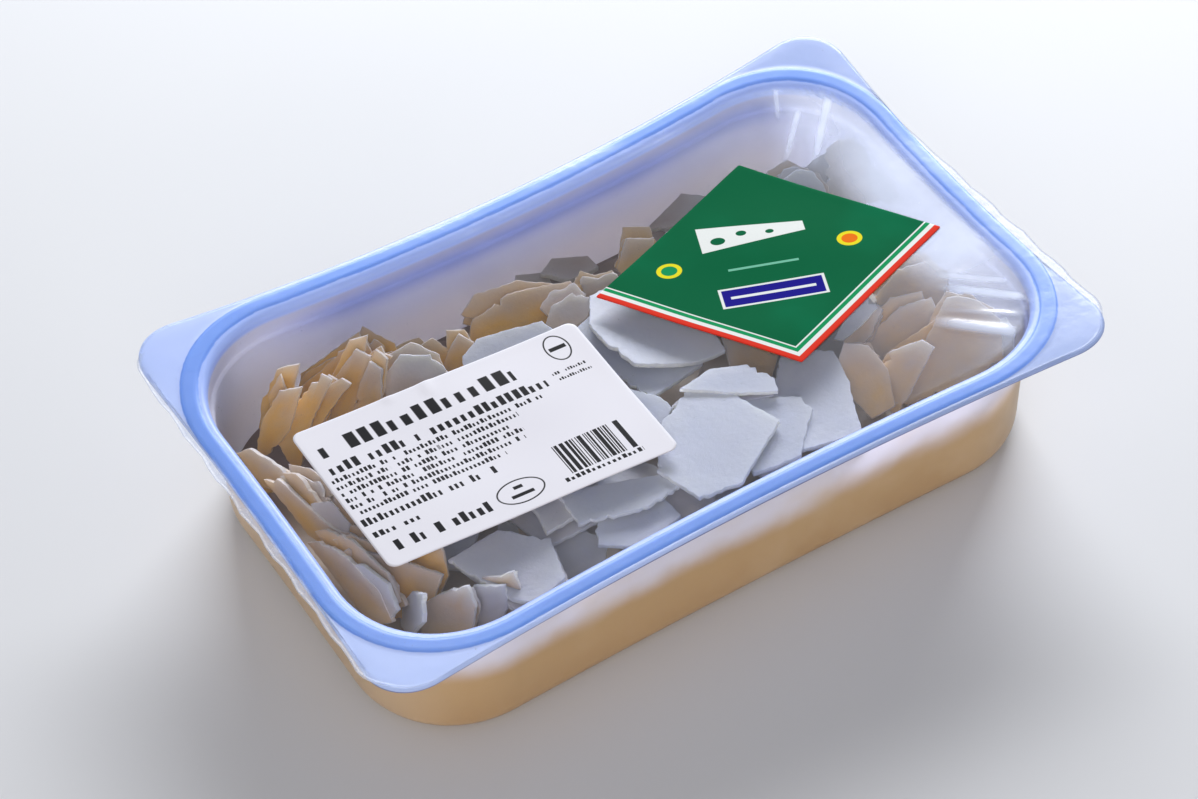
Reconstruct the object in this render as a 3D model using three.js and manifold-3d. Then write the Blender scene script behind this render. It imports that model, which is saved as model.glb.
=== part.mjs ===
// A shut pack of cheese flakes: a formed blue plastic tray with a welded clear lid film, a white
// paper label and a green kite-shaped label on the film, and a heap of flat cheese flakes inside.
// Millimetres. +X runs along the tray, +Y across it, +Z up; the origin is under the middle of the
// base. Every piece is one closed faceted surface.
import * as THREE from "three";
import { mergeVertices } from "three/addons/utils/BufferGeometryUtils.js";
import Module from "manifold-3d";

// ---- Driving dimensions -----------------------------------------------------------------------
const GAP = 0.3; // clearance kept between pieces that touch

const RIM_HEIGHT = 51; // flange top above the table, at the middle of the sides
const CORNER_RISE = 3.9; // how much higher the four flange corners curl
const BOW_LONG = 8.3; // inward bow of each long side at its middle
const BOW_SHORT = 3.1; // inward bow of each short side
const BASE_BOW_SHARE = 0.4; // share of that bow still left at the base

const FLANGE_HALF_LENGTH = 131.3;
const FLANGE_HALF_WIDTH = 85.5;
const FLANGE_CORNER_RADIUS = 17.7;
const FLANGE_THICKNESS = 1.5;

const SEAL_HALF_LENGTH = 131; // outer edge of the welded band
const SEAL_HALF_WIDTH = 83.6;
const SEAL_CORNER_RADIUS = 47.6;
const SEAL_WIDTH = 5.5;
const SEAL_RISE = 0.4; // the band stands this far above the flange
const MOUTH_INSET = 8.1; // from the band's outer edge to the tray's mouth

const WALL = 0.9; // wall and floor thickness
const STEP_DEPTH = 8.5; // stacking step below the rim
const STEP_WIDTH = 1.3;
const STEP_HEIGHT = 1;
const DRAFT = 2.2; // how far the wall leans in between the step and the base
const EDGE_RADIUS = 7; // rounding between wall and base

const FILM_THICKNESS = 0.3;
const FILM_SAG = 0.8; // dip of the stretched film at its middle
const FILM_MARGIN = 0.8; // flange left bare outside the film on the long sides
const FILM_OVERHANG = 3.4; // film standing past the flange on parts of the short sides

const LABEL_THICKNESS = 0.3;
const WHITE_LABEL = { x: -56, y: -11.2, length: 97, width: 62, radius: 3, turn: -3.9, lean: 3.9 };
const GREEN_LABEL = { x: 57.6, y: 3.4, length: 73, width: 67.7, radius: 0.6, turn: 18.6, lean: 14.5 };

const HEAP_CLEARANCE = 0.4; // between the heap and the tray
const HEAP_TOP_DROP = 5; // below the rim where the flakes come nearest to the film
const HEAP_FAR_FALL = 27; // further fall towards the far long wall
const HEAP_FALL_START = 20; // distance from the middle where that fall begins
const HEAP_FALL_RUN = 48;
const CORE_DEPTH = 7; // the plain core lies this far below the tops of the flat-lying flakes
const CORE_END_DEPTH = 8; // and this much further below the leaning ones at both ends
const FLAKE_THICKNESS = 1.7;
const FLAKE_SPACING = 17; // of the staggered rows in which the showing flakes are laid
const FLAKE_RADIUS = { least: 11, most: 21 };
const FLAKE_SEED = 9241;

// Steps that a closed loop takes round each corner and along each side.
const TRAY_STEPS = { corner: 7, longSide: 9, shortSide: 5 };
const LABEL_STEPS = { corner: 3, longSide: 6, shortSide: 4 };
// Sizes of the nested loops that a thin sheet is made of, as shares of its outline.
const FILM_SHARES = [0.2, 0.45, 0.68, 0.86, 0.94, 1];
const LABEL_SHARES = [0.35, 0.7, 1];

const COLOURS = {
  tray: 0x9fb4e8,
  film: 0xdfe6f6,
  whiteLabel: 0xebe9f1,
  greenLabel: 0x036b43,
  cheese: 0xe9dcae,
};

// ---- Outlines ---------------------------------------------------------------------------------
// A rounded rectangle, counter-clockwise seen from above, as the same number of points whatever
// its size, so that any two can be joined by a strip of faces.
function roundedRectangle(halfLength, halfWidth, radius, steps = TRAY_STEPS) {
  const corners = [
    [1, 1, 0],
    [-1, 1, 1],
    [-1, -1, 2],
    [1, -1, 3],
  ];
  const points = [];
  corners.forEach(([sideX, sideY, quarter]) => {
    for (let i = 0; i <= steps.corner; i++) {
      const angle = (quarter + i / steps.corner) * (Math.PI / 2);
      points.push(
        new THREE.Vector2(
          sideX * (halfLength - radius) + radius * Math.cos(angle),
          sideY * (halfWidth - radius) + radius * Math.sin(angle),
        ),
      );
    }
    const from = points[points.length - 1];
    const isLongSide = quarter % 2 === 0;
    const count = isLongSide ? steps.longSide : steps.shortSide;
    const to = isLongSide
      ? new THREE.Vector2(-sideX * (halfLength - radius), from.y)
      : new THREE.Vector2(from.x, -sideY * (halfWidth - radius));
    for (let i = 1; i < count; i++) points.push(from.clone().lerp(to, i / count));
  });
  return points;
}

// The tray's sides bow inwards; share is 1 at the rim and smaller lower down.
function bowed(point, share = 1) {
  const u = point.x / SEAL_HALF_LENGTH;
  const v = point.y / SEAL_HALF_WIDTH;
  return new THREE.Vector2(
    point.x - u * share * BOW_SHORT * Math.max(1 - v * v, 0),
    point.y - v * share * BOW_LONG * Math.max(1 - u * u, 0),
  );
}

// Height that the curled corners add at a place in the rim's plane.
function cornerRise(x, y) {
  return CORNER_RISE * (x / SEAL_HALF_LENGTH) ** 2 * (y / SEAL_HALF_WIDTH) ** 2;
}

// One level loop of the tray: inset is measured inwards from the welded band's outer edge.
function trayLoop(inset, height, share = 1, riseShare = share) {
  return roundedRectangle(
    SEAL_HALF_LENGTH - inset,
    SEAL_HALF_WIDTH - inset,
    SEAL_CORNER_RADIUS - inset,
  ).map((point) => {
    const { x, y } = bowed(point, share);
    return new THREE.Vector3(x, y, height + riseShare * cornerRise(point.x, point.y));
  });
}

function flangeLoop(height) {
  return roundedRectangle(FLANGE_HALF_LENGTH, FLANGE_HALF_WIDTH, FLANGE_CORNER_RADIUS).map(
    (point) => {
      const { x, y } = bowed(point);
      return new THREE.Vector3(x, y, height + cornerRise(point.x, point.y));
    },
  );
}

// ---- Closed surfaces --------------------------------------------------------------------------
// Joins loops of equal length, from a pole at the middle of the underside, out, up and over, to
// a second pole, into one closed surface that faces outwards.
function skin(firstPole, loops, lastPole) {
  const size = loops[0].length;
  const positions = [firstPole, ...loops.flat(), lastPole].flatMap((p) => [p.x, p.y, p.z]);
  const last = loops.length * size + 1;
  const faces = [];
  for (let i = 0; i < size; i++) {
    const next = (i + 1) % size;
    faces.push(0, 1 + next, 1 + i);
    for (let k = 0; k + 1 < loops.length; k++) {
      const low = 1 + k * size;
      const high = low + size;
      faces.push(low + i, low + next, high + next, low + i, high + next, high + i);
    }
    faces.push(last - size + i, last - size + next, last);
  }
  const geometry = new THREE.BufferGeometry();
  geometry.setAttribute("position", new THREE.Float32BufferAttribute(positions, 3));
  geometry.setIndex(faces);
  return geometry;
}

// A thin sheet over an outline: lowerFace gives the height of its underside at a place.
function sheet(outline, shares, thickness, lowerFace) {
  const centre = outline
    .reduce((sum, point) => sum.add(point), new THREE.Vector2())
    .divideScalar(outline.length);
  const at = (point, lift) => new THREE.Vector3(point.x, point.y, lowerFace(point.x, point.y) + lift);
  const loop = (share, lift) => outline.map((point) => at(centre.clone().lerp(point, share), lift));
  const under = shares.map((share) => loop(share, 0));
  const over = shares.map((share) => loop(share, thickness)).reverse();
  return skin(at(centre, 0), [...under, ...over], at(centre, thickness));
}

// ---- The tray ---------------------------------------------------------------------------------
// Loops of one face of the wall, from the flat base up to the rim. offset is 0 for the outer face
// and the wall's thickness for the inner one.
function wallLoops(offset) {
  const floor = offset;
  const stepInset = MOUTH_INSET - WALL + offset;
  const wallInset = stepInset + STEP_WIDTH;
  const baseInset = wallInset + DRAFT;
  const radius = EDGE_RADIUS - offset;
  const loops = [trayLoop(baseInset + radius + 12, floor, BASE_BOW_SHARE, 0)];
  const edgeSteps = 4;
  for (let i = 0; i <= edgeSteps; i++) {
    const angle = (i / edgeSteps) * (Math.PI / 2);
    loops.push(
      trayLoop(
        baseInset + radius * (1 - Math.sin(angle)),
        floor + radius * (1 - Math.cos(angle)),
        BASE_BOW_SHARE,
        0,
      ),
    );
  }
  const middle = (EDGE_RADIUS + RIM_HEIGHT - STEP_DEPTH) / 2;
  loops.push(trayLoop(wallInset + DRAFT / 2, middle, (1 + BASE_BOW_SHARE) / 2, 0));
  loops.push(trayLoop(wallInset, RIM_HEIGHT - STEP_DEPTH - STEP_HEIGHT, 1, 0.5));
  loops.push(trayLoop(stepInset, RIM_HEIGHT - STEP_DEPTH, 1, 0.5));
  return loops;
}

function trayGeometry() {
  const outer = wallLoops(0);
  outer.push(trayLoop(MOUTH_INSET - WALL, RIM_HEIGHT - FLANGE_THICKNESS));
  const bandEdge = 0.5; // run of the band's sloping edges
  const rim = [
    flangeLoop(RIM_HEIGHT - FLANGE_THICKNESS),
    flangeLoop(RIM_HEIGHT),
    trayLoop(0, RIM_HEIGHT),
    trayLoop(bandEdge, RIM_HEIGHT + SEAL_RISE),
    trayLoop(SEAL_WIDTH - bandEdge, RIM_HEIGHT + SEAL_RISE),
    trayLoop(SEAL_WIDTH, RIM_HEIGHT),
    trayLoop(MOUTH_INSET, RIM_HEIGHT - 0.3),
  ];
  const inner = wallLoops(WALL).reverse();
  return skin(new THREE.Vector3(0, 0, 0), [...outer, ...rim, ...inner], new THREE.Vector3(0, 0, WALL));
}

// ---- The film and its labels ------------------------------------------------------------------
// Height of the film's underside. It is welded all round and sags a little over the mouth.
function filmLower(x, y) {
  const u = Math.min(Math.abs(x) / (SEAL_HALF_LENGTH - MOUTH_INSET), 1);
  const v = Math.min(Math.abs(y) / (SEAL_HALF_WIDTH - MOUTH_INSET), 1);
  const sag = FILM_SAG * (1 - u * u) * (1 - v * v);
  return RIM_HEIGHT + SEAL_RISE + GAP + cornerRise(x, y) - sag;
}

// The film's outline follows the flange. Past the left edge, and past the right edge near the
// front corner, it stands out and waves.
function filmOutline() {
  return roundedRectangle(
    FLANGE_HALF_LENGTH - 0.3,
    FLANGE_HALF_WIDTH - FILM_MARGIN,
    FLANGE_CORNER_RADIUS,
  ).map((point) => {
    const place = bowed(point);
    const alongSide = point.y / FLANGE_HALF_WIDTH;
    const onEnd = Math.abs(point.x) > FLANGE_HALF_LENGTH - 1;
    if (!onEnd) return place;
    const reach = point.x < 0 ? Math.cos(alongSide * 1.2) : Math.cos((alongSide + 0.35) * 2.2);
    const wave = 0.85 + 0.15 * Math.sin(point.y * 0.35);
    place.x += Math.sign(point.x) * FILM_OVERHANG * Math.max(reach, 0) * wave;
    return place;
  });
}

function filmGeometry() {
  return sheet(filmOutline(), FILM_SHARES, FILM_THICKNESS, filmLower);
}

// A label's outline: a rounded rectangle leant out of square, turned and set in its place.
function labelOutline({ x, y, length, width, radius, turn, lean }) {
  const slide = Math.tan(THREE.MathUtils.degToRad(lean));
  const centre = new THREE.Vector2();
  return roundedRectangle(length / 2, width / 2, radius, LABEL_STEPS).map((point) =>
    new THREE.Vector2(point.x - point.y * slide, point.y)
      .rotateAround(centre, THREE.MathUtils.degToRad(turn))
      .add(new THREE.Vector2(x, y)),
  );
}

function labelGeometry(label) {
  const lift = FILM_THICKNESS + GAP;
  const lower = (x, y) => filmLower(x, y) + lift;
  return sheet(labelOutline(label), LABEL_SHARES, LABEL_THICKNESS, lower);
}

// ---- The heap of flakes -----------------------------------------------------------------------
// Height of the heap's upper surface, over the tips of the flakes. It falls towards the far wall
// and a little towards the left end.
function heapTop(x, y) {
  const { smoothstep } = THREE.MathUtils;
  const far = HEAP_FAR_FALL * smoothstep(y, HEAP_FALL_START, HEAP_FALL_START + HEAP_FALL_RUN);
  const left = 7 * smoothstep(-x, 70, 125);
  return RIM_HEIGHT - HEAP_TOP_DROP - far - left;
}

// The space the heap may fill: the tray's inside less its clearance, up to under the film.
function fillGeometry(topAt, inset) {
  const inner = WALL + inset;
  const sides = wallLoops(inner);
  const shares = [1, 0.92, 0.8, 0.64, 0.46, 0.28, 0.12];
  const rim = trayLoop(MOUTH_INSET + inset, 0, 1, 0);
  const tops = shares.map((share) =>
    rim.map((point) => {
      const x = point.x * share;
      const y = point.y * share;
      return new THREE.Vector3(x, y, topAt(x, y));
    }),
  );
  return skin(new THREE.Vector3(0, 0, inner), [...sides, ...tops], new THREE.Vector3(0, 0, topAt(0, 0)));
}

// The core ends below the step, and its upper surface is the heap's, some way down.
function coreGeometry() {
  const inner = WALL + HEAP_CLEARANCE;
  const floor = trayLoop(MOUTH_INSET + STEP_WIDTH + DRAFT + 6, inner, BASE_BOW_SHARE, 0);
  const bulge = (share) =>
    trayLoop(MOUTH_INSET + STEP_WIDTH + 1.5 + DRAFT * (1 - share), 0, BASE_BOW_SHARE + share * 0.3, 0);
  const side = bulge(0).map((p) => p.setZ(inner + 6));
  const shares = [0.97, 0.88, 0.74, 0.58, 0.42, 0.26, 0.12];
  const edge = bulge(1);
  const coreTop = (x, y) =>
    heapTop(x, y) - CORE_DEPTH - CORE_END_DEPTH * THREE.MathUtils.smoothstep(Math.abs(x), 55, 95);
  const tops = shares.map((share) =>
    edge.map(({ x, y }) => new THREE.Vector3(x * share, y * share, coreTop(x * share, y * share))),
  );
  return skin(
    new THREE.Vector3(0, 0, inner),
    [floor, side, ...tops],
    new THREE.Vector3(0, 0, coreTop(0, 0)),
  );
}

// A repeatable random number from 0 to 1.
let randomState = FLAKE_SEED;
function draw() {
  randomState = (randomState * 16807) % 2147483647;
  return randomState / 2147483647;
}
const drawBetween = (low, high) => low + (high - low) * draw();

// One flake: a flat many-sided plate of uneven outline, centred on the origin.
function flakeGeometry() {
  const sides = 4 + Math.floor(draw() * 3);
  const radius = drawBetween(FLAKE_RADIUS.least, FLAKE_RADIUS.most);
  const narrowness = drawBetween(0.62, 0.95);
  const start = draw() * Math.PI;
  const outline = new THREE.Shape();
  for (let i = 0; i < sides; i++) {
    const angle = start + ((i + drawBetween(-0.22, 0.22)) / sides) * 2 * Math.PI;
    const reach = radius * drawBetween(0.86, 1);
    outline[i ? "lineTo" : "moveTo"](reach * Math.cos(angle), reach * narrowness * Math.sin(angle));
  }
  outline.closePath();
  const plate = new THREE.ExtrudeGeometry(outline, { depth: FLAKE_THICKNESS, bevelEnabled: false });
  return plate.translate(0, 0, -FLAKE_THICKNESS / 2);
}

// How steeply flakes stand at a place, and which way their upper faces look, in degrees. They
// lie nearly flat in the middle and lean like fallen books towards both ends and the far side.
function lieOfFlake(x, y) {
  if (x < -78 && y < -38) return { steepness: drawBetween(66, 80), facing: drawBetween(225, 275) };
  if (x < -62) return { steepness: drawBetween(38, 62), facing: drawBetween(200, 245) };
  if (x > 92) return { steepness: drawBetween(28, 55), facing: drawBetween(185, 235) };
  if (y > 34) return { steepness: drawBetween(14, 38), facing: drawBetween(225, 290) };
  return { steepness: drawBetween(3, 20), facing: drawBetween(0, 360) };
}

function placedFlake(x, y) {
  const { steepness, facing } = lieOfFlake(x, y);
  const flake = flakeGeometry();
  flake.rotateZ(draw() * Math.PI);
  flake.rotateY(THREE.MathUtils.degToRad(steepness));
  flake.rotateZ(THREE.MathUtils.degToRad(facing));
  flake.computeBoundingBox();
  const sunk = drawBetween(0, 3.5);
  return flake.translate(x, y, heapTop(x, y) - sunk - flake.boundingBox.max.z);
}

// ---- Solids -----------------------------------------------------------------------------------
const wasm = await Module();
wasm.setup();

// A closed geometry as a solid that can be joined and cut.
function solid(geometry) {
  const bare = geometry.clone();
  bare.deleteAttribute("normal");
  bare.deleteAttribute("uv");
  const merged = mergeVertices(bare, 1e-4);
  return new wasm.Manifold(
    new wasm.Mesh({
      numProp: 3,
      vertProperties: merged.attributes.position.array,
      triVerts: new Uint32Array(merged.index.array),
    }),
  );
}

// The largest connected body of a solid, as a geometry: loose scraps are dropped and sealed
// hollows are filled.
function largestBody(made) {
  const bodies = made.decompose().sort((a, b) => b.volume() - a.volume());
  const mesh = bodies[0].getMesh();
  const geometry = new THREE.BufferGeometry();
  geometry.setAttribute("position", new THREE.BufferAttribute(mesh.vertProperties, 3));
  geometry.setIndex(new THREE.BufferAttribute(mesh.triVerts, 1));
  return geometry;
}

function heapGeometry() {
  const room = solid(fillGeometry((x, y) => filmLower(x, y) - 2 * GAP, HEAP_CLEARANCE));
  let heap = solid(coreGeometry());
  const rowStep = FLAKE_SPACING * Math.sin(Math.PI / 3);
  for (let row = -4; row <= 4; row++) {
    for (let column = -8; column <= 8; column++) {
      const x = (column + (row % 2 ? 0.5 : 0)) * FLAKE_SPACING + drawBetween(-4, 4);
      const y = row * rowStep + drawBetween(-4, 4);
      if (Math.abs(x) > 112 || Math.abs(y) > 62 || Math.hypot(x / 122, y / 74) > 1.12) continue;
      heap = heap.add(solid(placedFlake(x, y)));
    }
  }
  return largestBody(heap.intersect(room).simplify(0.02));
}

// ---- The pack ---------------------------------------------------------------------------------
function piece(name, geometry, colour, roughness, extra = {}) {
  const faceted = geometry.index ? geometry.toNonIndexed() : geometry;
  faceted.computeVertexNormals();
  const material = new THREE.MeshStandardMaterial({ color: colour, roughness, metalness: 0, ...extra });
  const mesh = new THREE.Mesh(faceted, material);
  mesh.name = name;
  return mesh;
}

const pack = new THREE.Group();
pack.name = "cheese_flake_pack";
pack.add(
  piece("tray", trayGeometry(), COLOURS.tray, 0.35),
  piece("cheese_flakes", heapGeometry(), COLOURS.cheese, 0.5),
  piece("lid_film", filmGeometry(), COLOURS.film, 0.08, {
    transparent: true,
    opacity: 0.25,
  }),
  piece("white_label", labelGeometry(WHITE_LABEL), COLOURS.whiteLabel, 0.55),
  piece("green_label", labelGeometry(GREEN_LABEL), COLOURS.greenLabel, 0.3),
);

export default pack;
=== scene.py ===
"""Dresses a shut tray of cheese flakes: tray, lid film, two labels and the heap of flakes inside."""

import logging
import math
from collections.abc import Iterable, Mapping
from dataclasses import dataclass, field
from enum import Enum

import bpy
import numpy as np
from mathutils import Matrix, Vector


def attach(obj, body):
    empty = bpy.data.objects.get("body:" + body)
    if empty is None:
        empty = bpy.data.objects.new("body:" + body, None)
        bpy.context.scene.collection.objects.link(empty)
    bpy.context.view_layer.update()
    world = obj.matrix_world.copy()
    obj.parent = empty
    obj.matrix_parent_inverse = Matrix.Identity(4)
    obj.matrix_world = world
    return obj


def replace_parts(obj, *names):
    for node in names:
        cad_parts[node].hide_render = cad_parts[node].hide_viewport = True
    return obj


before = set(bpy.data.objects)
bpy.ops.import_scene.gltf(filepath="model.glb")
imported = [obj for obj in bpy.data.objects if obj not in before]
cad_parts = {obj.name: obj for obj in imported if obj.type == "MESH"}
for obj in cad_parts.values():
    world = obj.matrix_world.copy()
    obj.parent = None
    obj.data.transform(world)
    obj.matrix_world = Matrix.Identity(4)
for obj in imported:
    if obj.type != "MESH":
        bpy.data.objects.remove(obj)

LOG = logging.getLogger("cheese_pack")
MM = 0.001
BODY = "root"

Colour = tuple[float, float, float, float]


def srgb(red: int, green: int, blue: int) -> Colour:
    """Turn a screen colour into the linear colour that shaders use.

    Args:
        red: Red from 0 to 255.
        green: Green from 0 to 255.
        blue: Blue from 0 to 255.

    Returns:
        Linear red, green and blue, and an alpha of 1.
    """
    shares = [channel / 255 for channel in (red, green, blue)]
    linear = [s / 12.92 if s <= 0.04045 else ((s + 0.055) / 1.055) ** 2.4 for s in shares]
    return (*linear, 1.0)


def smoothstep(low: float, high: float, value: np.ndarray) -> np.ndarray:
    """Rise smoothly from 0 at low to 1 at high.

    Args:
        low: Where the rise begins.
        high: Where it ends.
        value: Places to work it out at.

    Returns:
        The share of the rise at each place.
    """
    share = np.clip((value - low) / (high - low), 0, 1)
    return share * share * (3 - 2 * share)


# ---- Shader graphs -----------------------------------------------------------------------------


class Value:
    """One output socket of a shader graph, used in arithmetic like a number."""

    def __init__(self, graph: "Graph", socket: bpy.types.NodeSocket) -> None:
        """Keep the graph and the socket."""
        self.graph = graph
        self.socket = socket

    def math(self, operation: str, *operands: "Operand") -> "Value":
        """Return the result of a Math node on these operands."""
        return self.graph.add("ShaderNodeMath", {"operation": operation}, dict(enumerate(operands)))

    def __add__(self, other: "Operand") -> "Value":
        """Add."""
        return self.math("ADD", self, other)

    def __radd__(self, other: "Operand") -> "Value":
        """Add to a number."""
        return self.math("ADD", other, self)

    def __sub__(self, other: "Operand") -> "Value":
        """Subtract."""
        return self.math("SUBTRACT", self, other)

    def __rsub__(self, other: "Operand") -> "Value":
        """Subtract from a number."""
        return self.math("SUBTRACT", other, self)

    def __mul__(self, other: "Operand") -> "Value":
        """Multiply."""
        return self.math("MULTIPLY", self, other)

    def __rmul__(self, other: "Operand") -> "Value":
        """Multiply a number."""
        return self.math("MULTIPLY", other, self)

    def __truediv__(self, other: "Operand") -> "Value":
        """Divide."""
        return self.math("DIVIDE", self, other)

    def __pow__(self, other: "Operand") -> "Value":
        """Raise to a power."""
        return self.math("POWER", self, other)

    def __abs__(self) -> "Value":
        """Drop the sign."""
        return self.math("ABSOLUTE", self)

    def floor(self) -> "Value":
        """Round down."""
        return self.math("FLOOR", self)

    def at_most(self, other: "Operand") -> "Value":
        """Return the smaller of this and another value."""
        return self.math("MINIMUM", self, other)

    def rise(self, low: "Operand", high: "Operand") -> "Value":
        """Rise smoothly from 0 at low to 1 at high.

        Args:
            low: Value at which the rise begins.
            high: Value at which it ends; it may be the lower one, for a fall.

        Returns:
            The share of the rise.
        """
        sockets = {"Value": self, "From Min": low, "From Max": high}
        return self.graph.add("ShaderNodeMapRange", {"interpolation_type": "SMOOTHSTEP"}, sockets)


Operand = Value | float | int


class Graph:
    """The node tree of one material."""

    def __init__(self, name: str) -> None:
        """Start an empty material of that name."""
        self.material = bpy.data.materials.new(name)
        self.material.use_nodes = True
        self.tree = self.material.node_tree
        self.tree.nodes.clear()

    def add(
        self,
        kind: str,
        settings: Mapping[str, object] | None = None,
        sockets: Mapping[str | int, object] | None = None,
        output: str | int = 0,
    ) -> Value:
        """Add one node.

        Args:
            kind: The node's type.
            settings: Its properties, set first.
            sockets: Values or links of its inputs, by name or place.
            output: The output wanted, by name or place.

        Returns:
            That output.
        """
        node = self.tree.nodes.new(kind)
        for name, setting in (settings or {}).items():
            setattr(node, name, setting)
        for key, value in (sockets or {}).items():
            if isinstance(value, Value):
                self.tree.links.new(value.socket, node.inputs[key])
            else:
                node.inputs[key].default_value = value
        return Value(self, node.outputs[output])

    def mix(self, share: Operand, first: object, second: object) -> Value:
        """Blend two colours; share is how much of the second shows."""
        return self.add("ShaderNodeMix", {"data_type": "RGBA"}, {0: share, 6: first, 7: second}, 2)

    def attribute(self, name: str) -> Value:
        """Return a number stored on the mesh."""
        return self.add("ShaderNodeAttribute", {"attribute_name": name}, output="Fac")

    def place(self) -> Value:
        """Return the place on the object, in metres."""
        return self.add("ShaderNodeTexCoord", output="Object")

    def axes(self, vector: Value) -> tuple[Value, Value, Value]:
        """Return the three parts of a vector."""
        parts = self.add("ShaderNodeSeparateXYZ", sockets={0: vector}).socket.node.outputs
        return tuple(Value(self, part) for part in parts)

    def noise(self, vector: Value, size: float, detail: float = 2.0, stretch: Vector | None = None) -> Value:
        """Return soft noise from 0 to 1.

        Args:
            vector: The place.
            size: Width of its blotches, in metres.
            detail: How many finer layers it has.
            stretch: Factors on the three axes, if the blotches are drawn out.

        Returns:
            The noise.
        """
        if stretch is not None:
            settings = {"operation": "MULTIPLY"}
            vector = self.add("ShaderNodeVectorMath", settings, {0: vector, 1: stretch})
        return self.add("ShaderNodeTexNoise", sockets={"Vector": vector, "Scale": 1 / size, "Detail": detail})

    def chance(self, number: Value) -> Value:
        """Return a random number from 0 to 1 that depends on a whole number."""
        return self.add("ShaderNodeTexWhiteNoise", {"noise_dimensions": "1D"}, {"W": number})

    def bump(self, height: Value, depth: float, strength: float = 1.0) -> Value:
        """Return a normal bent by a height from 0 to 1 that stands for depth metres."""
        sockets = {"Height": height, "Distance": depth, "Strength": strength}
        return self.add("ShaderNodeBump", sockets=sockets)

    def finish(self, shader: Value) -> bpy.types.Material:
        """Show a shader, and return the material."""
        output = self.tree.nodes.new("ShaderNodeOutputMaterial")
        self.tree.links.new(shader.socket, output.inputs["Surface"])
        return self.material

    def principled(self, **sockets: object) -> Value:
        """Return a Principled shader; a socket's spaces are written as underscores."""
        named = {name.replace("_", " "): value for name, value in sockets.items()}
        return self.add("ShaderNodeBsdfPrincipled", {"subsurface_method": "BURLEY"}, named)


# ---- The pack's shape --------------------------------------------------------------------------


@dataclass(frozen=True)
class LoopSteps:
    """How many steps a closed loop takes round each corner and along each side."""

    corner: int
    long_side: int
    short_side: int


FINE_STEPS = LoopSteps(corner=22, long_side=44, short_side=26)
LABEL_STEPS = LoopSteps(corner=8, long_side=60, short_side=40)


def rounded_rectangle(half: tuple[float, float], radius: float, steps: LoopSteps) -> np.ndarray:
    """Go round a rounded rectangle, counter-clockwise seen from above.

    Args:
        half: Half its length and half its width.
        radius: Radius of its corners.
        steps: How finely it is divided.

    Returns:
        Its points, as many whatever its size.
    """
    core = np.array(half) - radius
    points = []
    for quarter, side in enumerate(((1, 1), (-1, 1), (-1, -1), (1, -1))):
        angles = (quarter + np.linspace(0, 1, steps.corner + 1)) * math.pi / 2
        arc = core * side + radius * np.c_[np.cos(angles), np.sin(angles)]
        count = steps.short_side if quarter % 2 else steps.long_side
        end = arc[-1] * ((1, -1) if quarter % 2 else (-1, 1))
        share = np.linspace(0, 1, count, endpoint=False)[1:, None]
        points += [arc, arc[-1] * (1 - share) + end * share]
    return np.concatenate(points)


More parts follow.
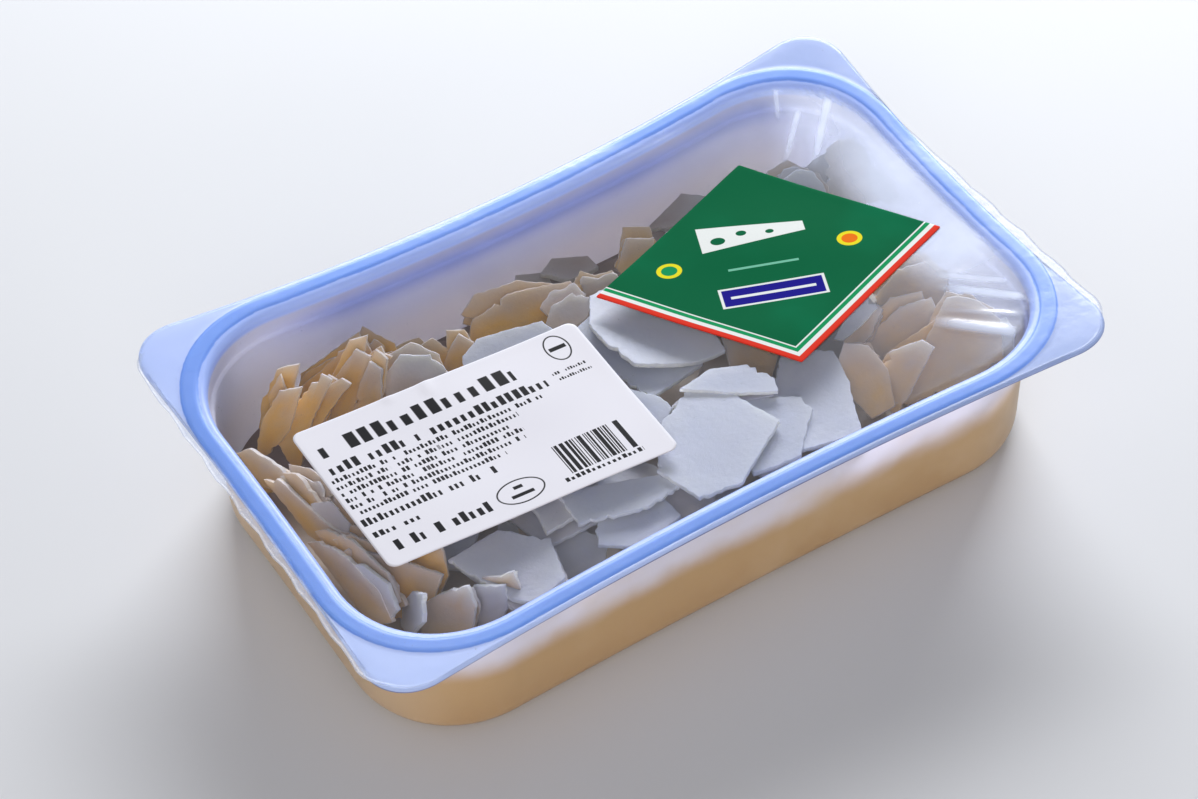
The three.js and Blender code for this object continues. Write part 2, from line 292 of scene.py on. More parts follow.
@dataclass(frozen=True)
class PackShape:
    """The driving sizes of tray and film, in metres, and the curves worked out from them."""

    rim_height: float = 51 * MM
    corner_rise: float = 3.9 * MM
    bow_long: float = 8.3 * MM
    bow_short: float = 3.1 * MM
    base_bow_share: float = 0.4
    flange_half: tuple[float, float] = (131.3 * MM, 85.35 * MM)
    flange_radius: float = 17.7 * MM
    flange_thickness: float = 1.5 * MM
    seal_half: tuple[float, float] = (131 * MM, 83.6 * MM)
    seal_radius: float = 47.6 * MM
    seal_width: float = 5.5 * MM
    seal_rise: float = 0.4 * MM
    mouth_inset: float = 8.1 * MM
    shoulder: float = 2.2 * MM
    wall: float = 0.9 * MM
    step_depth: float = 8.5 * MM
    step_width: float = 1.3 * MM
    step_height: float = 1 * MM
    draft: float = 2.2 * MM
    edge_radius: float = 7 * MM
    film_lift: float = 0.28 * MM
    film_sag: float = 0.8 * MM

    def bowed(self, points: np.ndarray, share: float = 1.0) -> np.ndarray:
        """Pull the sides in towards the middle.

        Args:
            points: Places in the plane of the rim.
            share: How much of the rim's bow applies.

        Returns:
            The places after the pull.
        """
        u, v = points[:, 0] / self.seal_half[0], points[:, 1] / self.seal_half[1]
        pull_x = u * share * self.bow_short * np.maximum(1 - v * v, 0)
        pull_y = v * share * self.bow_long * np.maximum(1 - u * u, 0)
        return points - np.c_[pull_x, pull_y]

    def rise(self, x: np.ndarray, y: np.ndarray) -> np.ndarray:
        """Return the height that the curled corners add."""
        return self.corner_rise * (x / self.seal_half[0]) ** 2 * (y / self.seal_half[1]) ** 2

    def tray_loop(
        self, inset: float, height: float, share: float = 1.0, rise: float | None = None
    ) -> np.ndarray:
        """Return one level loop of the tray.

        Args:
            inset: Distance inwards from the welded band's outer edge.
            height: Height above the table, before the corners' rise.
            share: How much of the rim's bow applies.
            rise: How much of the corners' rise applies; as much as the bow, if left out.

        Returns:
            The loop's points.
        """
        half = (self.seal_half[0] - inset, self.seal_half[1] - inset)
        flat = rounded_rectangle(half, self.seal_radius - inset, FINE_STEPS)
        lift = (share if rise is None else rise) * self.rise(flat[:, 0], flat[:, 1])
        return np.c_[self.bowed(flat, share), height + lift]

    def flange_loop(self, inset: float, height: float) -> np.ndarray:
        """Return a loop along the flange's outer edge, moved in by inset."""
        half = (self.flange_half[0] - inset, self.flange_half[1] - inset)
        flat = rounded_rectangle(half, self.flange_radius - inset, FINE_STEPS)
        return np.c_[self.bowed(flat), height + self.rise(flat[:, 0], flat[:, 1])]

    def mouth_distance(self, x: np.ndarray, y: np.ndarray, depth: float = 20 * MM) -> np.ndarray:
        """Return how far places lie inside the tray's inner wall at some depth below the rim.

        Args:
            x: Places along the tray.
            y: Places across it.
            depth: How far below the rim the wall is taken.

        Returns:
            Distances, below 0 outside the wall.
        """
        share = 1 - (1 - self.base_bow_share) * depth / self.rim_height
        u, v = x / self.seal_half[0], y / self.seal_half[1]
        straight_x = x + u * share * self.bow_short * np.maximum(1 - v * v, 0)
        straight_y = y + v * share * self.bow_long * np.maximum(1 - u * u, 0)
        inset = self.mouth_inset + self.step_width + self.draft * depth / self.rim_height
        radius = self.seal_radius - inset
        out_x = np.abs(straight_x) - (self.seal_half[0] - inset - radius)
        out_y = np.abs(straight_y) - (self.seal_half[1] - inset - radius)
        outside = np.hypot(np.maximum(out_x, 0), np.maximum(out_y, 0))
        return radius - outside - np.minimum(np.maximum(out_x, out_y), 0)


PACK = PackShape()


@dataclass(frozen=True)
class Fold:
    """A small ridge in the stretched film, from one place to another, in millimetres."""

    start: tuple[float, float]
    end: tuple[float, float]
    width: float
    height: float
    # share of painted glint along the ridge
    pale: float = 0.0

    def lift(self, x: np.ndarray, y: np.ndarray) -> np.ndarray:
        """Return the height that the ridge adds at places in metres."""
        start, end = np.array(self.start) * MM, np.array(self.end) * MM
        along = end - start
        length = np.hypot(*along)
        share = ((x - start[0]) * along[0] + (y - start[1]) * along[1]) / length**2
        off = ((x - start[0]) * along[1] - (y - start[1]) * along[0]) / length
        taper = smoothstep(-0.15, 0.2, share) * smoothstep(1.25, 0.7, share)
        return self.height * MM * taper * np.exp(-((off / (self.width * MM)) ** 2))

    def glint_streak(self, x: Value, y: Value) -> Value:
        """Return the painted glint along the ridge, as a share of milky film, at a place in metres."""
        start, end = np.array(self.start) * MM, np.array(self.end) * MM
        along = end - start
        unit = along / np.hypot(*along)
        forward = along / (along @ along)
        off = x * float(unit[1]) - y * float(unit[0]) - float(start[0] * unit[1] - start[1] * unit[0])
        share = x * float(forward[0]) + y * float(forward[1]) - float(start @ forward)
        body = abs(off).rise(self.width * 1.15 * MM, self.width * 0.2 * MM)
        return body * share.rise(-0.12, 0.1) * share.rise(1.2, 0.6) * self.pale


FOLDS = (
    Fold((113.8, 52.5), (95.5, 33.3), 1.5, 0.36, 0.5),
    Fold((102.5, 53.5), (87.7, 38.6), 1.3, 0.3, 0.3),
    Fold((102, 66), (95.5, 54.6), 1.1, 0.22, 0.22),
    Fold((113.5, -45), (98, -31), 1.6, 0.3, 0.2),
    Fold((113.5, -53.5), (97, -37), 2.0, 0.42, 0.5),
    Fold((108, -59.5), (91.5, -44.5), 1.2, 0.3, 0.1),
    Fold((102.5, -64), (86.5, -47.5), 2.6, 0.4, 0.4),
    Fold((-58, 24), (-60, 15), 2.0, 0.4),
    Fold((-74, 26), (-71, 19), 1.6, 0.3),
    Fold((-112, 55), (-86, 40), 2.4, 0.3),
    Fold((-112, -52), (-92, -44), 2.2, 0.3),
    Fold((-20, 66), (-14, 30), 5.0, 0.3),
    Fold((10, -64), (4, -34), 4.0, 0.3),
    Fold((60, 68), (46, 44), 4.0, 0.3),
)


def film_height(x: np.ndarray, y: np.ndarray) -> np.ndarray:
    """Return the height of the film's upper face at places in metres."""
    u = np.minimum(np.abs(x) / (PACK.seal_half[0] - PACK.mouth_inset), 1)
    v = np.minimum(np.abs(y) / (PACK.seal_half[1] - PACK.mouth_inset), 1)
    sag = PACK.film_sag * (1 - u * u) * (1 - v * v)
    ripple = 0.14 * MM * np.sin(x / (9 * MM) + 1.7 * np.sin(y / (16 * MM)))
    ripple += 0.1 * MM * np.sin(y / (6.5 * MM) - 1.3 * np.sin(x / (21 * MM)))
    folds = sum(fold.lift(x, y) for fold in FOLDS)
    return PACK.rim_height + PACK.seal_rise + PACK.film_lift + PACK.rise(x, y) - sag + ripple + folds


# ---- Meshes ------------------------------------------------------------------------------------


@dataclass
class MeshParts:
    """Vertices, faces and numbers per vertex gathered for one mesh."""

    points: list[np.ndarray] = field(default_factory=list)
    faces: list[tuple[int, ...]] = field(default_factory=list)
    numbers: dict[str, list[np.ndarray]] = field(default_factory=dict)
    count: int = 0

    def add(
        self, points: np.ndarray, faces: Iterable[tuple[int, ...]], **numbers: np.ndarray | float
    ) -> None:
        """Add one closed surface.

        Args:
            points: Its vertices.
            faces: Its faces, as places in those vertices.
            **numbers: Values to store on its vertices.
        """
        self.faces += [tuple(int(i) + self.count for i in face) for face in faces]
        self.points.append(points)
        for name, value in numbers.items():
            self.numbers.setdefault(name, []).append(np.broadcast_to(value, len(points)))
        self.count += len(points)

    def make(self, name: str, material: bpy.types.Material, slot: str) -> bpy.types.Object:
        """Make the object, smooth shaded, riding on the pack's body.

        Args:
            name: The piece's name.
            material: Its material.
            slot: The record's material slot; not used.

        Returns:
            The object.
        """
        mesh = bpy.data.meshes.new(name)
        mesh.from_pydata(np.concatenate(self.points).tolist(), [], self.faces)
        mesh.polygons.foreach_set("use_smooth", [True] * len(mesh.polygons))
        for label, values in self.numbers.items():
            layer = mesh.attributes.new(label, "FLOAT", "POINT")
            layer.data.foreach_set("value", np.concatenate(values).astype(np.float32))
        mesh.materials.append(material)
        mesh.update()
        piece = bpy.data.objects.new(name, mesh)
        bpy.context.scene.collection.objects.link(piece)
        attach(piece, BODY)
        LOG.info("%s: %d vertices, %d faces", name, len(mesh.vertices), len(mesh.polygons))
        return piece


def skin_faces(size: int, loops: int) -> list[tuple[int, ...]]:
    """Join a pole, loops of one size and a last pole into a closed surface facing out.

    Args:
        size: Points in each loop.
        loops: How many loops there are.

    Returns:
        The faces; point 0 is the first pole and the last point the second.
    """
    faces = []
    last = loops * size + 1
    for i in range(size):
        j = (i + 1) % size
        faces.append((0, 1 + j, 1 + i))
        faces.append((last - size + i, last - size + j, last))
        for low in range(1, 1 + (loops - 1) * size, size):
            faces.append((low + i, low + j, low + size + j, low + size + i))
    return faces


def skin_points(loops: list[np.ndarray]) -> np.ndarray:
    """Return the points of a skin: its loops between the middles of the first and the last."""
    return np.concatenate([loops[0].mean(0)[None], *loops, loops[-1].mean(0)[None]])


# ---- The tray ----------------------------------------------------------------------------------


@dataclass(frozen=True)
class TraySpot:
    """Where a point of the tray lies, as values in the shader of its plastic."""

    place: Value
    x: Value
    y: Value
    inset: Value
    side: Value
    drop: Value
    cloud: Value


@dataclass(frozen=True)
class TrayFinish:
    """Light blue translucent plastic: deeper where the film is welded, milky at the walls, with painted light
    and shade on the flange and the walls.
    """

    flange: Colour = srgb(174, 193, 238)
    flange_shaded_right: Colour = srgb(138, 158, 203)
    flange_sheen: Colour = srgb(196, 208, 240)
    # painted shade on the flange's rounded outer edge
    nose: Colour = srgb(84, 94, 152)
    band: Colour = srgb(108, 150, 228)
    lip: Colour = srgb(158, 181, 236)
    inner_shaded_top: Colour = srgb(105, 116, 168)
    inner_low: Colour = srgb(161, 160, 180)
    inner_lit_left: Colour = srgb(208, 204, 208)
    inner_glow: Colour = srgb(206, 186, 160)
    inner_lit: Colour = srgb(232, 236, 250)
    outer_top: Colour = srgb(224, 223, 238)
    outer_low: Colour = srgb(190, 158, 116)
    outer_shade: Colour = srgb(160, 126, 94)
    outer_lit_left: Colour = srgb(222, 202, 176)
    outer_patch: Colour = srgb(214, 192, 160)
    fleck: float = 6 * MM

    def rim(self, graph: Graph, spot: TraySpot) -> Value:
        """Return the colour over the flange and its edge, the welded band and the lip, with painted shade and
        a painted sheen on the flange.

        Args:
            graph: The material's graph.
            spot: Where the point lies.

        Returns:
            The colour; the band's two edges waver a little.
        """
        wander = graph.noise(spot.place, 9 * MM, 3) - 0.5
        edge = graph.noise(spot.place, 2.2 * MM, 2) - 0.5
        near = spot.inset + edge * (0.5 * MM)
        far = spot.inset + wander * (1.6 * MM) + edge * (0.7 * MM)
        in_band = near.rise(-0.1 * MM, 0.25 * MM)
        past_band = far.rise(PACK.seal_width - 0.2 * MM, PACK.seal_width + 0.2 * MM)
        # painted shade: the flange turns darker towards the right end, where the light falls off
        flange = graph.mix(spot.x.rise(-60 * MM, 110 * MM), self.flange, self.flange_shaded_right)
        flange = graph.mix(spot.cloud * 0.25, flange, self.flange_sheen)
        # painted shade: the flange's rounded outer edge is darker blue
        shaded_nose = spot.drop.rise(0.25 * MM, 0.9 * MM) * spot.inset.rise(0, -1 * MM)
        rim = graph.mix(in_band, graph.mix(shaded_nose, flange, self.nose), self.band)
        return graph.mix(past_band, rim, self.lip)

    def inner(self, graph: Graph, spot: TraySpot, step: Value) -> Value:
        """Return the colour of the inner wall.

        Args:
            graph: The material's graph.
            spot: Where the point lies.
            step: Depth of the stacking step, where the blue fades.

        Returns:
            The colour: darker above the step with painted shade, painted light at the left end, a painted
                warm glow from the cheese lower down and painted light on the lit right end.
        """
        x, drop = spot.x, spot.drop
        # darker and bluer above the stacking step: the plastic's blue with painted shade under the flange
        inner = graph.mix(drop.rise(step - 1.5 * MM, step + 9 * MM), self.inner_shaded_top, self.inner_low)
        # painted light: the inner wall turns paler towards the left end
        inner = graph.mix(x.rise(-56 * MM, -104 * MM) * 0.7, inner, self.inner_lit_left)
        # painted light: a warm glow from the cheese on the lower inner wall
        inner = graph.mix(drop.rise(14 * MM, 34 * MM) * 0.5, inner, self.inner_glow)
        lit_end = x.rise(97 * MM, 118 * MM) * spot.y.rise(-60 * MM, -20 * MM)
        return graph.mix(lit_end * 0.85, inner, self.inner_lit)

    def outer(self, graph: Graph, spot: TraySpot, step: Value) -> Value:
        """Return the colour of the outer wall, through which the cheese shows from some depth down, with
        painted shade towards the base and painted light at the left end.

        Args:
            graph: The material's graph.
            spot: Where the point lies.
            step: Depth of the stacking step.

        Returns:
            The colour.
        """
        x, drop = spot.x, spot.drop
        ridge = graph.noise(spot.place, 30 * MM, 3) - 0.5
        clear_of_cheese = step + 3 * MM + x.rise(-126 * MM, -90 * MM) * (6 * MM) + ridge * (14 * MM)
        cheese_share = drop.rise(clear_of_cheese, clear_of_cheese + 12 * MM)
        outer = graph.mix(cheese_share, self.outer_top, self.outer_low)
        outer = graph.mix(drop.rise(30 * MM, 54 * MM) * 0.45, outer, self.outer_shade)
        # painted light: the outer wall turns paler towards the left end
        outer = graph.mix(x.rise(-96 * MM, -126 * MM) * 0.5, outer, self.outer_lit_left)
        patches = graph.noise(spot.place, 34 * MM, 3).rise(0.45, 0.75)
        return graph.mix(patches * 0.35, outer, self.outer_patch)

    def material(self) -> bpy.types.Material:
        """Return the material, which reads the numbers inset, side and drop off the mesh."""
        graph = Graph("tray_plastic")
        place = graph.place()
        x, y, _ = graph.axes(place)
        cloud = graph.noise(place, 26 * MM, 2)
        numbers = [graph.attribute(name) for name in ("inset", "side", "drop")]
        spot = TraySpot(place, x, y, *numbers, cloud)
        step = PACK.step_depth + (cloud - 0.5) * (1.5 * MM)
        wall = graph.mix(spot.side, self.outer(graph, spot, step), self.inner(graph, spot, step))
        grain = graph.noise(place, 0.7 * MM, 2)
        relief = graph.noise(place, self.fleck, 2) * 0.7 + grain * 0.08
        shader = graph.principled(
            Base_Color=graph.mix(spot.drop.rise(2.6 * MM, 4.2 * MM), self.rim(graph, spot), wall),
            Roughness=0.3 + cloud * 0.14 + grain * 0.04,
            Normal=graph.bump(relief, 0.25 * MM, 0.5),
            Subsurface_Weight=0.8,
            Subsurface_Radius=(4 * MM, 4 * MM, 5 * MM),
            Subsurface_Scale=1.0,
        )
        return graph.finish(shader)


@dataclass
class Tray:
    """The formed tray: flat base, drafted wall with a stacking step, and a wide curled flange."""

    floor_rings: int = 5

    def wall(self, offset: float) -> list[tuple[np.ndarray, float]]:
        """Return the loops of one face of the wall, from the base up.

        Args:
            offset: 0 for the outer face, the wall's thickness for the inner one.

        Returns:
            Loops with their distances inside the band's outer edge.
        """
        low = PACK.base_bow_share
        step_inset = PACK.mouth_inset - PACK.wall + offset
        wall_inset = step_inset + PACK.step_width
        base_inset = wall_inset + PACK.draft
        radius = PACK.edge_radius - offset
        loops = []
        for share in np.linspace(0.12, 0.9, self.floor_rings):
            ring = PACK.tray_loop(base_inset + radius, offset, low, 0)
            loops.append((ring * [share, share, 1], base_inset + radius))
        for angle in np.linspace(0, math.pi / 2, 9):
            inset = base_inset + radius * (1 - math.sin(angle))
            loops.append((PACK.tray_loop(inset, offset + radius * (1 - math.cos(angle)), low, 0), inset))
        top = PACK.rim_height - PACK.step_depth - PACK.step_height
        start = offset + radius
        for share in np.linspace(0, 1, 12)[1:]:
            inset = base_inset - PACK.draft * share
            height = start + (top - start) * share
            bow = low + (1 - low) * share
            loops.append((PACK.tray_loop(inset, height, bow, 0.5 * share**3), inset))
        for share in (0.25, 0.5, 0.75, 1.0):
            slope = 0.5 - 0.5 * math.cos(math.pi * share)
            inset = wall_inset - PACK.step_width * slope
            height = top + share * PACK.step_height
            loops.append((PACK.tray_loop(inset, height, 1, 0.5 + 0.1 * share), inset))
        return loops

    def rim(self) -> list[tuple[np.ndarray, float]]:
        """Return the loops over the flange, from under its root to the mouth."""
        rim, under = PACK.rim_height, PACK.rim_height - PACK.flange_thickness
        root = PACK.mouth_inset - PACK.wall
        loops = [(PACK.tray_loop(root, under - 3 * MM, 1, 0.8), root)]
        loops += [(PACK.tray_loop(root, under - 1 * MM), root)]
        loops += [(PACK.tray_loop(root - 0.3 * MM, under - 0.3 * MM), root)]
        loops += [(PACK.tray_loop(root - 1 * MM, under), root)]
        band_under = PACK.tray_loop(0, under)
        flange_under = PACK.flange_loop(1 * MM, under)
        loops += [(band_under + (flange_under - band_under) * s, -1 * MM) for s in (0, 0.35, 0.7, 1)]
        nose = PACK.flange_thickness / 2
        for angle in np.linspace(-math.pi / 2, math.pi / 2, 7)[1:-1]:
            inset = nose * (1 - math.cos(angle))
            height = rim - nose + nose * math.sin(angle)
            loops.append((PACK.flange_loop(inset, height), -20 * MM))
        flange_top, band_top = PACK.flange_loop(1.2 * MM, rim), PACK.tray_loop(-0.05 * MM, rim)
        for share in (0, 0.2, 0.45, 0.7, 0.88):
            ring = flange_top + (band_top - flange_top) * share
            reach = np.hypot(*(ring - band_top)[:, :2].T)
            loops.append((ring, -reach - 0.4 * MM))
        for inset, lift in self.band_profile():
            loops.append((PACK.tray_loop(inset, rim + lift), inset))
        return loops

    @staticmethod
    def band_profile() -> list[tuple[float, float]]:
        """Return the welded band's section, and the lip's, as insets and heights over the rim."""
        rise, width = PACK.seal_rise, PACK.seal_width
        up = [(s * 0.7 * MM, rise * (0.5 - 0.5 * math.cos(math.pi * s))) for s in (0, 0.33, 0.67, 1)]
        flat = [(width * s, rise) for s in (0.3, 0.5, 0.7)]
        down = [(width - inset, lift) for inset, lift in reversed(up)]
        bend = [
            (PACK.mouth_inset - PACK.shoulder * (1 - math.sin(a)), -PACK.shoulder * (1 - math.cos(a)))
            for a in np.linspace(0.1, math.pi / 2, 8)
        ]
        return up + flat + down + bend

    def build(self, finish: TrayFinish) -> bpy.types.Object:
        """Make the tray.

        Args:
            finish: Its plastic.

        Returns:
            The tray, which replaces its plain solid.
        """
        outer, rim, inner = self.wall(0), self.rim(), self.wall(PACK.wall)[::-1]
        sides = [0.0] * len(outer) + [0.5] * len(rim) + [1.0] * len(inner)
        loops = outer + rim + inner
        points = skin_points([loop for loop, _ in loops])
        insets = [np.broadcast_to(inset, len(loop)) for loop, inset in loops]
        size = len(loops[0][0])
        inset = np.concatenate([insets[0][:1], *insets, insets[-1][:1]])
        side = np.concatenate([[0.0], np.repeat(sides, size), [1.0]])
        drop = PACK.rim_height + PACK.rise(points[:, 0], points[:, 1]) - points[:, 2]
        parts = MeshParts()
        parts.add(points, skin_faces(size, len(loops)), inset=inset, side=side, drop=drop)
        piece = parts.make("tray_shell", finish.material(), "tray_plastic")
        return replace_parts(piece, "tray")


# ---- The lid film ------------------------------------------------------------------------------


@dataclass(frozen=True)
class FilmFinish:
    """Clear stretched film that lets the flakes show, faintly milky and bluish, with a painted glare and
    gloss.
    """

    haze_and_glare: Colour = srgb(214, 224, 250)
    tint: Colour = (0.97, 0.98, 1.0, 1.0)
    gloss: Colour = (1.0, 1.0, 1.0, 1.0)
    roughness: float = 0.16
    most_haze_and_glare: float = 0.75

    def haze_and_glare_share(self, graph: Graph, place: Value, welded: Value) -> Value:
        """Return how milky the film is, painted glare included.

        Args:
            graph: The material's graph.
            place: The place on the film.
            welded: 1 over the tray's rim, 0 over the mouth.

        Returns:
            Its share of milky film: a painted glare at the right end, painted glints along the folds, specks
                and loose edges.
        """
        x, y, _ = graph.axes(place)
        patches = graph.noise(place, 30 * MM, 3)
        # painted glare: the film turns milky towards the right end, a painted reflection of the bright light
        # behind
        slant = x - y * 0.06 + (patches - 0.5) * (14 * MM)
        end = slant.rise(88 * MM, 112 * MM)
        near = y.rise(-22 * MM, -40 * MM)
        far = y.rise(14 * MM, 46 * MM)
        painted_glare = end * (1 - near * 0.72 - far * 0.5) * 0.5
        # painted glints: pale lines of milky film along the folds
        for fold in FOLDS:
            if fold.pale:
                painted_glare = painted_glare + fold.glint_streak(x, y)
        # a faint milky cloud, growing towards the right as more painted glare
        faint = patches * 0.02 + x.rise(20 * MM, 100 * MM) * 0.07
        specks = graph.noise(place, 1.1 * MM, 1).rise(0.74, 0.8)
        loose = graph.attribute("free") * (0.14 + graph.noise(place, 4 * MM, 3) * 0.3)
        return ((painted_glare + faint) * (1 - welded) + specks * 0.08 + loose).at_most(self.most_haze_and_glare)

    def material(self) -> bpy.types.Material:
        """Return the material."""
        graph = Graph("clear_film")
        place = graph.place()
        welded = graph.attribute("welded")
        haze_and_glare = self.haze_and_glare_share(graph, place, welded)
        streaks = graph.noise(place, 5 * MM, 3, Vector((0.25, 1.0, 1.0)))
        crinkle = graph.noise(place, 3.2 * MM, 3) * welded
        relief = streaks * 0.5 + graph.noise(place, 13 * MM, 2) + crinkle * 0.9
        normal = graph.bump(relief, 0.22 * MM, 0.6)
        clear = graph.add("ShaderNodeBsdfTransparent", sockets={"Color": self.tint})
        haze_and_glare_layer = graph.principled(Base_Color=self.haze_and_glare, Roughness=0.45, Normal=normal)
        body = graph.add("ShaderNodeMixShader", sockets={0: haze_and_glare, 1: clear, 2: haze_and_glare_layer})
        mirror = graph.principled(
            Base_Color=self.gloss, Metallic=1.0, Roughness=self.roughness + welded * 0.1, Normal=normal
        )
        facing = graph.add("ShaderNodeLayerWeight", sockets={"Blend": 0.5, "Normal": normal}, output="Facing")
        glance = (0.04 + facing ** 5 * 0.9) * (1 - welded * 0.45)
        return graph.finish(graph.add("ShaderNodeMixShader", sockets={0: glance, 1: body, 2: mirror}))


@dataclass
class LidFilm:
    """The film: a thin closed sheet over the flange, standing past it in places on both ends."""

    thickness: float = 0.08 * MM
    margin: float = 0.8 * MM
    overhang: float = 3.4 * MM

    def outline(self) -> tuple[np.ndarray, np.ndarray]:
        """Return the outline of the film on the flange, and the film's own outline, in the plane."""
        half = (PACK.flange_half[0] - 0.3 * MM, PACK.flange_half[1] - self.margin)
        flat = rounded_rectangle(half, PACK.flange_radius, FINE_STEPS)
        placed = PACK.bowed(flat)
        along = flat[:, 1] / PACK.flange_half[1]
        on_end = smoothstep(half[0] - 4 * MM, half[0] - 0.2 * MM, np.abs(flat[:, 0]))
        reach = np.where(flat[:, 0] < 0, np.cos(along * 1.2), np.cos((along + 0.35) * 2.2))
        wave = 0.85 + 0.15 * np.sin(flat[:, 1] / MM * 0.35)
        past = np.sign(flat[:, 0]) * on_end * self.overhang * np.maximum(reach, 0) * wave
        return placed, placed + np.c_[past, np.zeros(len(past))]

    def build(self, finish: FilmFinish) -> bpy.types.Object:
        """Make the film.

        Args:
            finish: Its clear finish.

        Returns:
            The film, which replaces its plain solid.
        """
        held, outline = self.outline()
        shares = np.concatenate([np.linspace(0.02, 0.8, 46), np.linspace(0.8, 1, 22)[1:]])
        upper, freedom = [], []
        for share in shares:
            x, y = (outline * share).T
            edge_droop = 0.25 * MM * smoothstep(0.95, 1.0, share)
            upper.append(np.c_[x, y, film_height(x, y) - edge_droop])
            freedom.append(smoothstep(0.1 * MM, 0.6 * MM, np.abs(x) - np.abs(held[:, 0])))
        lower = [loop - [0, 0, self.thickness] for loop in upper]
        loops = lower + upper[::-1]
        points = skin_points(loops)
        lip = PACK.mouth_inset + PACK.step_width - 1 * MM
        past_lip = PACK.mouth_distance(*points[:, :2].T, 0) + lip - PACK.mouth_inset
        welded = smoothstep(1.5 * MM, -0.5 * MM, past_lip)
        parts = MeshParts()
        free = np.concatenate([[0], *freedom, *freedom[::-1], [0]])
        parts.add(points, skin_faces(len(outline), len(loops)), welded=welded, free=free)
        piece = parts.make("stretched_film", finish.material(), "film")
        # the film takes hardly any light away, so only the camera's own rays need to meet it
        piece.visible_shadow = False
        piece.visible_diffuse = False
        piece.visible_glossy = False
        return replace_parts(piece, "lid_film")


# ---- The labels --------------------------------------------------------------------------------


class Ink(Enum):
    """Printing inks."""

    BLACK = srgb(16, 16, 22)
    WHITE = srgb(236, 240, 238)
    DARK_GREEN = srgb(2, 100, 62)
    MID_GREEN = srgb(22, 150, 92)
    RED = srgb(226, 58, 42)
    BLUE = srgb(28, 22, 140)
    YELLOW = srgb(238, 226, 40)
    ORANGE = srgb(240, 120, 26)
    PALE_GREEN = srgb(120, 196, 168)


class Print:
    """Draws simple shapes on a label, in the label's own millimetres."""

    EDGE = 0.09  # softness of a printed edge

    def __init__(self, graph: Graph, paper: Colour | Value) -> None:
        """Start from bare paper.

        Args:
            graph: The material's graph.
            paper: The paper's colour.
        """
        self.graph = graph
        self.u = graph.attribute("label_u")
        self.v = graph.attribute("label_v")
        self.colour: object = paper

    def ink(self, mask: Value, ink: Ink) -> None:
        """Lay an ink where the mask is 1."""
        self.colour = self.graph.mix(mask, self.colour, ink.value)

    def turned(self, centre: tuple[float, float], angle: float) -> tuple[Value, Value]:
        """Return the place measured from a centre along axes turned by an angle in degrees."""
        cos, sin = math.cos(math.radians(angle)), math.sin(math.radians(angle))
        du, dv = self.u - centre[0], self.v - centre[1]
        return du * cos + dv * sin, dv * cos - du * sin

    def band(self, value: Value, low: float, high: float) -> Value:
        """Return 1 where a value lies between two limits."""
        above = value.rise(low - self.EDGE, low + self.EDGE)
        return above * value.rise(high + self.EDGE, high - self.EDGE)

    def box(self, centre: tuple[float, float], size: tuple[float, float], angle: float = 0.0) -> Value:
        """Return 1 in a box of that centre, size and turn."""
        along, across = self.turned(centre, angle)
        inside = self.band(along, -size[0] / 2, size[0] / 2)
        return inside * self.band(across, -size[1] / 2, size[1] / 2)

    def disc(self, centre: tuple[float, float], half: tuple[float, float], angle: float = 0.0) -> Value:
        """Return 1 in an ellipse of that centre, half-axes and turn."""
        along, across = self.turned(centre, angle)
        reach = ((along / half[0]) ** 2 + (across / half[1]) ** 2) ** 0.5
        soft = self.EDGE / min(half)
        return reach.rise(1 + soft, 1 - soft)

    def ring(self, centre: tuple[float, float], half: tuple[float, float], line: float = 0.5) -> Value:
        """Return 1 on an ellipse drawn as a line just inside its half-axes."""
        return self.disc(centre, half) - self.disc(centre, (half[0] - line, half[1] - line))

    def letters(self, block: "TextBlock") -> Value:
        """Return 1 on the marks of a block of rows that stand for small print.

        Args:
            block: Where the rows lie and how large their marks are.

        Returns:
            The mask.
        """
        row = (self.v + self.u * block.tilt - block.bottom) / block.spacing
        line = row.floor()
        up = (row - line) * (block.spacing / block.height)
        place = (self.u - block.left) / block.pitch
        cell = place.floor()
        across = place - cell
        first = self.graph.chance(cell + line * 37 + block.seed)
        second = self.graph.chance(cell + line * 53 + (block.seed + 0.5))
        end = block.shortest + (block.longest - block.shortest) * self.graph.chance(line + block.seed)
        soft = self.EDGE / block.height
        inside = (line + 1) * (block.lines - line)
        inside = inside.rise(0.1, 0.2) * place.rise(0, 0.02) * self.u.rise(end + self.EDGE, end)
        top = 0.7 + second.rise(0.6, 0.62) * 0.3
        wide = 0.46 + second * 0.36
        body = up.rise(0, soft) * up.rise(top + soft, top) * across.rise(0.04, 0.12)
        body = body * across.rise(wide + 0.06, wide - 0.02)
        return body * inside * first.rise(block.gaps, block.gaps + 0.01)


@dataclass(frozen=True)
class TextBlock:
    """Rows of small square marks that stand for print, in label millimetres."""

    left: float
    bottom: float
    shortest: float
    longest: float
    height: float
    pitch: float
    seed: int
    lines: int = 1
    spacing: float = 20.0
    gaps: float = 0.13
    tilt: float = 0.0


